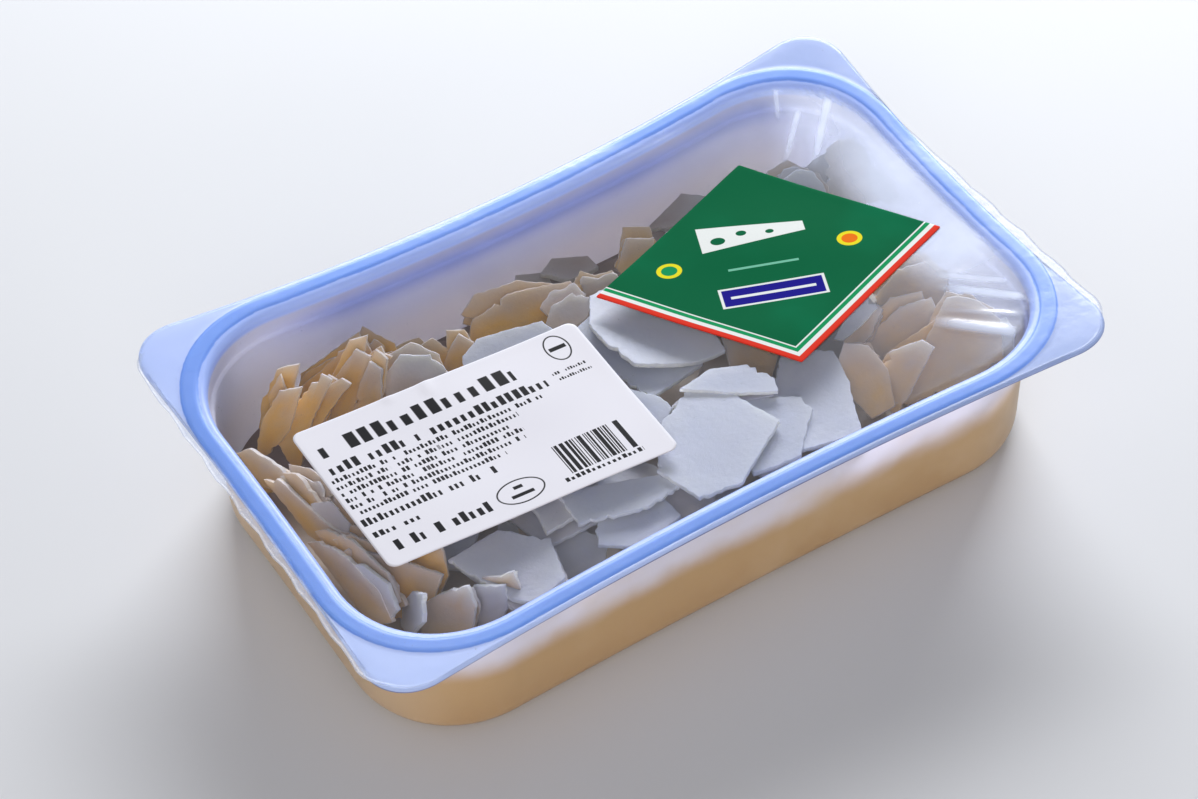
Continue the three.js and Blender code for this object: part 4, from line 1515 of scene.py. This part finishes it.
SHOWN_FLAKES = (
    # leaning on the far left wall
    ShownFlake(
        ((-107, 44), (-103, 47), (-95, 48), (-89, 44), (-97, 40), (-107, 41)),
        depth=16, slope=(1.0, 1.0), amber_glow=0.9, under_it=2,
    ),
    ShownFlake(
        ((-85, 56), (-76, 55), (-66, 54), (-64, 50), (-70, 48), (-83, 47), (-90, 51)),
        depth=18, slope=(0.7, 1), amber_glow=1, under_it=2,
    ),
    ShownFlake(
        ((-101, 41), (-92, 44), (-82, 44), (-80, 41), (-92, 37), (-100, 31)),
        depth=15, slope=(0.8, 0.9), amber_glow=0.9, under_it=2,
    ),
    ShownFlake(
        ((-64, 54), (-58, 55), (-53, 47), (-53, 42), (-63, 44)),
        depth=18.5, slope=(0.3, 0.9), amber_glow=1, under_it=2,
    ),
    ShownFlake(
        ((-86, 44), (-80, 46), (-68, 47), (-65, 43), (-76, 37), (-83, 36)),
        depth=15, slope=(0.8, 1.0), amber_glow=0.8, under_it=2,
    ),
    ShownFlake(
        ((-77, 36), (-72, 39), (-67, 40), (-65, 36), (-69, 31), (-74, 31)),
        depth=12, slope=(1.2, 0.9), amber_glow=0.7, under_it=1,
    ),
    ShownFlake(
        ((-56, 45), (-47, 46), (-42, 46), (-38, 40), (-43, 35), (-53, 39)),
        depth=18.5, slope=(0.3, 0.9), amber_glow=1, under_it=2,
    ),
    ShownFlake(
        ((-65, 39), (-56, 41), (-48, 36), (-46, 30), (-53, 25), (-66, 27)),
        depth=13, slope=(0.35, 0.6), curl=0.4, amber_glow=0.3, under_it=2,
    ),
    ShownFlake(
        ((-43, 38), (-39, 40), (-35, 41), (-32, 37), (-35, 31), (-42, 33)),
        depth=17, slope=(0.6, 1.0), amber_glow=0.8, under_it=1,
    ),
    # leaning in the middle of the far side
    ShownFlake(
        ((-31, 43), (-27, 47), (-13, 48), (7, 42), (7, 38), (-3, 34), (-22, 38)),
        depth=17, slope=(0.2, 0.75), amber_glow=1, under_it=2,
    ),
    ShownFlake(
        ((-41, 28), (-39, 32), (-32, 35), (-11, 30), (-8, 21), (-20, 13), (-39, 17)),
        depth=12.5, slope=(0.07, 0.2), curl=0.4,
    ),
    ShownFlake(
        ((-4, 36), (4, 36), (8, 32), (4, 27), (-5, 27), (-9, 32)),
        depth=14, slope=(0.2, 0.4), amber_glow=0.4, under_it=1,
    ),
    ShownFlake(
        ((5, 38), (12, 43), (16, 40), (21, 39), (23, 33), (13, 32)),
        depth=17, slope=(0.3, 0.65), amber_glow=0.6, under_it=2,
    ),
    ShownFlake(
        ((26, 45), (33, 50), (41, 46), (39, 40), (28, 39)),
        depth=19.5, slope=(0.3, 0.8), amber_glow=0.7, under_it=2,
    ),
    ShownFlake(
        ((36, 41), (45, 45), (57, 43), (59, 36), (48, 30), (37, 33)),
        depth=19, slope=(0.25, 0.65), amber_glow=0.6, under_it=2,
    ),
    # edge-on along the left wall
    ShownFlake(
        ((-115, 40), (-112, 37), (-108, 24), (-107, 17), (-110, 18), (-114, 27)),
        depth=15.5, slope=(1.5, 0.4), amber_glow=0.8, under_it=1,
    ),
    ShownFlake(
        ((-110, 21), (-105, 16), (-102, 9), (-102, 4), (-107, 4), (-111, 12)),
        depth=12, slope=(0.65, 0.25), amber_glow=0.6, under_it=1,
    ),
    ShownFlake(
        ((-114, 24), (-111, 18), (-107, -6), (-105, -13), (-109, -12), (-112, 0)),
        depth=13, slope=(1.7, 0.3), amber_glow=0.9, under_it=1,
    ),
    ShownFlake(
        ((-108, 5), (-103, 1), (-102, -9), (-105, -12), (-109, -3)),
        depth=11, slope=(0.55, 0.2), amber_glow=0.5, under_it=1,
    ),
    ShownFlake(
        ((-110, -4), (-104, -12), (-101, -19), (-106, -18), (-110, -11)),
        depth=12, slope=(1.1, 0.3), amber_glow=0.9, under_it=1,
    ),
    ShownFlake(
        ((-115, -6), (-113, -10), (-110, -22), (-108, -38), (-109, -47), (-113, -40)),
        depth=11, slope=(2.2, 0.3), amber_glow=0.7, under_it=2,
    ),
    ShownFlake(
        ((-110, -23), (-108, -29), (-106, -40), (-107, -47), (-110, -45), (-111, -33)),
        depth=8.5, slope=(2.4, 0.3), amber_glow=0.3,
    ),
    # upright in the near left corner
    ShownFlake(
        ((-112, -17), (-108, -19), (-101, -28), (-90, -44), (-96, -46), (-103, -42)),
        depth=11, slope=(1.3, 0.9), amber_glow=0.8, under_it=2,
    ),
    ShownFlake(
        ((-104, -42), (-102, -38), (-100, -44), (-100, -51), (-103, -55), (-105, -49)),
        depth=13, slope=(3.6, -0.9),
    ),
    ShownFlake(
        ((-101, -47), (-97, -45), (-93, -48), (-87, -54), (-87, -58), (-93, -61)),
        depth=14, slope=(2.3, 1.4), amber_glow=0.4, under_it=1,
    ),
    ShownFlake(
        ((-87, -53), (-84, -51), (-80, -55), (-77, -58), (-78, -61), (-84, -60)),
        depth=12, slope=(2.1, 1.7), amber_glow=0.2, under_it=2,
    ),
    # leaning on the right wall and in the far right corner
    ShownFlake(
        ((85, -14), (96, -13), (106, -18), (107, -25), (101, -30), (93, -27)),
        depth=15, slope=(0.6, 0.6), amber_glow=0.6, under_it=2,
    ),
    ShownFlake(
        ((72, -31), (77, -28), (86, -28), (95, -32), (95, -38), (87, -41), (75, -39)),
        depth=14, slope=(0.55, 0.6), amber_glow=0.6, under_it=2,
    ),
    ShownFlake(
        ((66, -25), (75, -22), (79, -20), (81, -26), (74, -30), (66, -31)),
        depth=12, slope=(0.35, 0.4), amber_glow=0.5, under_it=1,
    ),
    ShownFlake(
        ((54, -47), (56, -37), (61, -33), (67, -38), (68, -47), (64, -57), (56, -56)),
        depth=11.5, slope=(0.3, 0.4), amber_glow=0.75, under_it=1,
    ),
    ShownFlake(
        ((67, -45), (72, -44), (80, -48), (82, -52), (72, -55), (65, -57), (64, -51)),
        depth=11, slope=(0.8, 0.7), amber_glow=0.6, under_it=1,
    ),
    ShownFlake(
        ((96, -39), (99, -41), (103, -47), (105, -55), (100, -64), (87, -62), (71, -54), (70, -50),
         (80, -46), (89, -42)),
        depth=9.5, slope=(0.6, 0.4), curl=0.5, amber_glow=0.55, under_it=2,
    ),
    ShownFlake(
        ((101, -52), (107, -55), (107, -60), (103, -65), (96, -65)),
        depth=7.5, slope=(0.8, 0.4), amber_glow=0.2, under_it=1,
    ),
    ShownFlake(
        ((107, 43), (111, 42), (114, 40), (116, 36), (116, 31), (115, 25), (114, 22), (108, 26),
         (103, 31), (101, 35)),
        depth=14, slope=(0.89, 0.8), curl=0.3, amber_glow=0.2, under_it=1,
    ),
    ShownFlake(
        ((98, 46), (104, 45), (108, 44), (107, 41), (103, 38), (101, 43)),
        depth=15.5, slope=(0.57, 0.82), under_it=1,
    ),
    ShownFlake(
        ((89, 43), (95, 43), (99, 40), (100, 34), (99, 31), (92, 36)),
        depth=15, slope=(0.35, 0.61), under_it=1,
    ),
    ShownFlake(
        ((113, 28), (116, 24), (117, 19), (116, 14), (113, 16), (111, 22)),
        depth=12, slope=(1.0, 0.6), amber_glow=0.0, under_it=1,
    ),
    ShownFlake(
        ((95, -5), (102, -8), (106, -14), (101, -18), (94, -17), (91, -11)),
        depth=16, slope=(0.5, 0.5), amber_glow=0.3, under_it=1,
    ),
    ShownFlake(
        ((78, -22), (79, -26), (72, -27), (65, -27), (63, -25), (70, -22)),
        depth=10, slope=(0.4, 0.5), amber_glow=0.05,
    ),
    ShownFlake(
        ((90, 47), (97, 46), (102, 40), (103, 33), (94, 32), (88, 39)),
        depth=18, slope=(0.35, 0.6), amber_glow=0.5, under_it=2,
    ),
    # lying flat in the middle, near the film
    ShownFlake(
        ((-5, 20), (-6, 4), (0, -17), (21, -14), (18, 6), (6, 23)),
        depth=9.5, slope=(0.03, 0.04), curl=0.8, under_it=1,
    ),
    ShownFlake(
        ((5, 27), (-2, 16), (-2, 6), (1, -6), (19, -15), (28, -16), (32, 8), (18, 28)),
        depth=6.5, slope=(-0.02, 0), curl=1.6,
    ),
    ShownFlake(
        ((-4, -11), (2, -19), (3, -25), (-3, -28), (-13, -24), (-13, -14)),
        depth=9, slope=(0.04, 0.06), under_it=1,
    ),
    ShownFlake(
        ((57, -33), (54, -46), (46, -65), (26, -62), (28, -40), (44, -24)),
        depth=8.5, slope=(-0.06, 0.03), curl=0.5, under_it=1,
    ),
    ShownFlake(
        ((14, -29), (37, -45), (37, -51), (24, -64), (8, -62)),
        depth=6.6, slope=(0.01, 0.02), curl=0.3, under_it=1,
    ),
    ShownFlake(
        ((7, -25), (19, -33), (25, -51), (2, -65), (-12, -63), (-17, -47), (-6, -32)),
        depth=4.2, curl=0.3,
    ),
    ShownFlake(
        ((6, -24), (18, -22), (29, -27), (33, -36), (31, -41), (19, -34)),
        depth=3.2, slope=(0, 0.03), curl=0.3, under_it=1,
    ),
    ShownFlake(
        ((-38, -46), (-19, -53), (-18, -62), (-34, -66), (-45, -58)),
        depth=9, slope=(0, 0.05), curl=0.3, amber_glow=0.2, under_it=1,
    ),
    ShownFlake(
        ((-46, -36), (-15, -48), (-14, -55), (-26, -56), (-47, -50)),
        depth=6, slope=(0.01, 0), curl=0.3,
    ),
    ShownFlake(
        ((-86, -40), (-68, -38), (-56, -49), (-60, -64), (-72, -67), (-77, -62), (-80, -55)),
        depth=8, slope=(0, 0.05), curl=0.4, amber_glow=0.2, under_it=1,
    ),
)


@dataclass
class FlakeHeap:
    """The heap: a plain core, dropped flakes and the flakes that show; radii are in millimetres."""

    seed: int = 4127
    dropped: int = 900
    tries: int = 20
    radii: tuple[float, float] = (12, 21)
    chips: int = 150
    chip_radii: tuple[float, float] = (0.5, 1.8)
    chip_room: float = 4 * MM
    core_gap: float = 1.4 * MM
    core_depth: float = 16.5 * MM
    lump: float = 1.2 * MM

    def core(self, material: bpy.types.Material) -> bpy.types.Object:
        """Make the core, which fills the tray under the flakes.

        Args:
            material: The cheese.

        Returns:
            The core.
        """
        inset = PACK.mouth_inset + PACK.step_width + self.core_gap
        base = PACK.tray_loop(inset + PACK.draft + 5 * MM, PACK.wall + 0.2 * MM, PACK.base_bow_share, 0)
        side = PACK.tray_loop(inset + PACK.draft, PACK.wall + 8 * MM, PACK.base_bow_share, 0)
        edge = PACK.tray_loop(inset + 1 * MM, 0, 0.7, 0)
        loops = [base * [share, share, 1] for share in (0.3, 0.7)] + [base, side]
        for share in np.linspace(0.99, 0.04, 34):
            x, y = (edge[:, :2] * share).T
            lumps = self.lump * np.sin(x / (5 * MM)) * np.cos(y / (6 * MM))
            loops.append(np.c_[x, y, heap_top(x, y) - self.core_depth + lumps])
        points = skin_points(loops)
        parts = MeshParts()
        drop = PACK.rim_height - points[:, 2]
        parts.add(points, skin_faces(len(base), len(loops)), edge=0.0, tone=0.8, drop=drop, glow=0.2)
        return parts.make("heap_core", material, "cheese")

    def drop_flakes(self, pile: Pile, draw: np.random.RandomState) -> None:
        """Drop flakes where the heap lies deepest under its ceiling.

        Args:
            pile: The growing heap.
            draw: Source of random numbers.
        """
        for _ in range(self.dropped):
            gap = (pile.ceiling - pile.height)[tuple(pile.open_cells.T)]
            picks = draw.randint(0, len(pile.open_cells), 10)
            centre = pile.centre(pile.open_cells[picks[np.argmax(gap[picks])]])
            plan = flake_plan(draw, draw.uniform(*self.radii) * MM)
            for _ in range(self.tries):
                if np.all(PACK.mouth_distance(*(plan + centre).T) > 1.5 * MM):
                    break
                centre *= 0.975
            make = {"curl": draw.normal(0, 0.4) * MM, "tone": draw.uniform(), "amber_glow": draw.uniform(0, 0.6)}
            tilt = draw.normal(0, 0.12, 2)
            pile.drop(plan + centre, tilt, draw.uniform(0.5, 1.0), draw.uniform(1.4, 2.1) * MM, **make)

    def drop_chips(self, pile: Pile, draw: np.random.RandomState) -> None:
        """Scatter small chips over the heap.

        Args:
            pile: The heap.
            draw: Source of random numbers.
        """
        for _ in range(self.chips):
            centre = pile.centre(pile.open_cells[draw.randint(len(pile.open_cells))])
            plan = flake_plan(draw, draw.uniform(*self.chip_radii) * MM) + centre
            make = {"tone": draw.uniform(), "amber_glow": draw.uniform(0, 0.4)}
            pile.drop(plan, draw.normal(0, 0.1, 2), 1.0, draw.uniform(0.6, 1.1) * MM, **make)

    def pile(self) -> Pile:
        """Lay the flakes under the shown ones, the dropped ones, the shown ones and the chips.

        Returns:
            The finished heap.
        """
        draw = np.random.RandomState(self.seed)
        pile = Pile()
        tops = [shown.flake(draw) for shown in SHOWN_FLAKES]
        for top in tops:
            pile.keep_free(top)
        for shown, top in zip(SHOWN_FLAKES, tops):
            for flake in shown.neighbours(top, draw):
                if pile.fits(flake):
                    pile.put(flake)
        self.drop_flakes(pile, draw)
        for top in tops:
            pile.put(top)
        pile.ceiling += self.chip_room
        self.drop_chips(pile, draw)
        LOG.info("%d flakes", len(pile.flakes))
        return pile

    def build(self, finish: CheeseFinish) -> list[bpy.types.Object]:
        """Make the heap.

        Args:
            finish: The cheese.

        Returns:
            The core and the flakes, which replace the plain heap.
        """
        material = finish.material()
        flakes = self.pile().flakes
        middle = len(flakes) // 2
        draw = np.random.RandomState(self.seed + 1)
        pieces = [self.core(material)]
        for name, share in (("lower_flakes", flakes[:middle]), ("upper_flakes", flakes[middle:])):
            parts = MeshParts()
            for flake in share:
                flake.add_to(parts, draw)
            piece = parts.make(name, material, "cheese")
            piece.data.set_sharp_from_angle(angle=math.radians(30))
            pieces.append(piece)
        for piece in pieces:
            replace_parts(piece, "cheese_flakes")
        return pieces


# ---- The studio --------------------------------------------------------------------------------


@dataclass(frozen=True)
class Camera:
    """The photograph's viewpoint."""

    aim: tuple[float, float, float] = (-17.8 * MM, -15.6 * MM, 51 * MM)
    distance: float = 1069.2 * MM
    azimuth: float = -29.98
    elevation: float = 48.55
    roll: float = -2.75
    lens: float = 105.2
    clip_start: float = 50 * MM

    def build(self) -> None:
        """Make the camera and use it for the render."""
        azimuth, elevation = math.radians(self.azimuth), math.radians(self.elevation)
        reach = math.cos(elevation)
        back = Vector((math.sin(azimuth) * reach, -math.cos(azimuth) * reach, math.sin(elevation)))
        level = Vector((math.cos(azimuth), math.sin(azimuth), 0))
        upright = back.cross(level)
        roll = math.radians(self.roll)
        right = level * math.cos(roll) + upright * math.sin(roll)
        turn = Matrix((right, back.cross(right), back)).transposed().to_4x4()
        data = bpy.data.cameras.new("photo_camera")
        data.lens = self.lens
        data.clip_start = self.clip_start
        camera = bpy.data.objects.new("photo_camera", data)
        camera.matrix_world = Matrix.Translation(Vector(self.aim) + back * self.distance) @ turn
        bpy.context.scene.collection.objects.link(camera)
        bpy.context.scene.camera = camera


@dataclass(frozen=True)
class SoftBox:
    """A large soft lamp that looks at the pack."""

    name: str
    place: tuple[float, float, float]
    size: tuple[float, float]
    power: float
    colour: tuple[float, float, float]
    mirrored: bool = True

    def build(self) -> None:
        """Make the lamp; one that isn't mirrored leaves no glare on the film."""
        data = bpy.data.lights.new(self.name, "AREA")
        data.shape = "RECTANGLE"
        data.size, data.size_y = self.size
        data.energy = self.power
        data.color = self.colour
        lamp = bpy.data.objects.new(self.name, data)
        lamp.visible_glossy = self.mirrored
        lamp.location = self.place
        lamp.rotation_euler = Vector(self.place).to_track_quat("Z", "Y").to_euler()
        bpy.context.scene.collection.objects.link(lamp)


LAMPS = (
    SoftBox("back_light", (0.83, 1.04, 0.68), (1.1, 0.45), 31, (0.97, 0.985, 1.0)),
    SoftBox("low_fill_light", (-0.85, -1.3, 0.4), (1.3, 0.6), 9, (1.0, 0.89, 0.77), mirrored=False),
    SoftBox("high_fill_light", (-0.95, -1.05, 1.35), (1.5, 1.1), 8, (1.0, 0.94, 0.87), mirrored=False),
)


@dataclass(frozen=True)
class Studio:
    """A plain pale floor, soft lamps and a pale surround."""

    floor_colour: Colour = srgb(224, 226, 230)
    floor_cloud: Colour = srgb(214, 217, 224)
    floor_half: float = 3.0
    floor_gap: float = 0.2 * MM
    surround: Colour = srgb(214, 220, 232)
    surround_strength: float = 0.32

    def floor(self) -> None:
        """Make the floor."""
        graph = Graph("pale_floor")
        place = graph.place()
        cloud = graph.noise(place, 220 * MM, 2)
        grain = graph.noise(place, 1.5 * MM, 2)
        shader = graph.principled(
            Base_Color=graph.mix(cloud * 0.06, self.floor_colour, self.floor_cloud),
            Roughness=0.6 + cloud * 0.1,
            Normal=graph.bump(grain, 0.02 * MM, 0.3),
        )
        mesh = bpy.data.meshes.new("floor")
        half = self.floor_half
        corners = [(-half, -half, 0), (half, -half, 0), (half, half, 0), (-half, half, 0)]
        mesh.from_pydata(corners, [], [(0, 1, 2, 3)])
        mesh.materials.append(graph.finish(shader))
        floor = bpy.data.objects.new("floor", mesh)
        floor.location.z = -self.floor_gap
        bpy.context.scene.collection.objects.link(floor)

    def surroundings(self) -> None:
        """Light the scene evenly from all sides."""
        world = bpy.data.worlds.new("pale_room")
        world.use_nodes = True
        sky = world.node_tree.nodes["Background"]
        sky.inputs["Color"].default_value = self.surround
        sky.inputs["Strength"].default_value = self.surround_strength
        bpy.context.scene.world = world

    def build(self) -> None:
        """Make floor, lamps and surroundings, and show plain colours."""
        bpy.context.scene.view_settings.view_transform = "Standard"
        self.floor()
        self.surroundings()
        for lamp in LAMPS:
            lamp.build()


# ---- The whole ---------------------------------------------------------------------------------


def main() -> None:
    """Build every piece in order."""
    logging.basicConfig(level=logging.INFO, format="%(message)s")
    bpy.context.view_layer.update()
    Camera().build()
    Tray().build(TrayFinish())
    FlakeHeap().build(CheeseFinish("hard_cheese"))
    LidFilm().build(FilmFinish())
    WHITE_LABEL.build(WhiteLabelFinish().material())
    GREEN_LABEL.build(GreenLabelFinish().material())
    Studio().build()


if __name__ == "__main__":
    main()
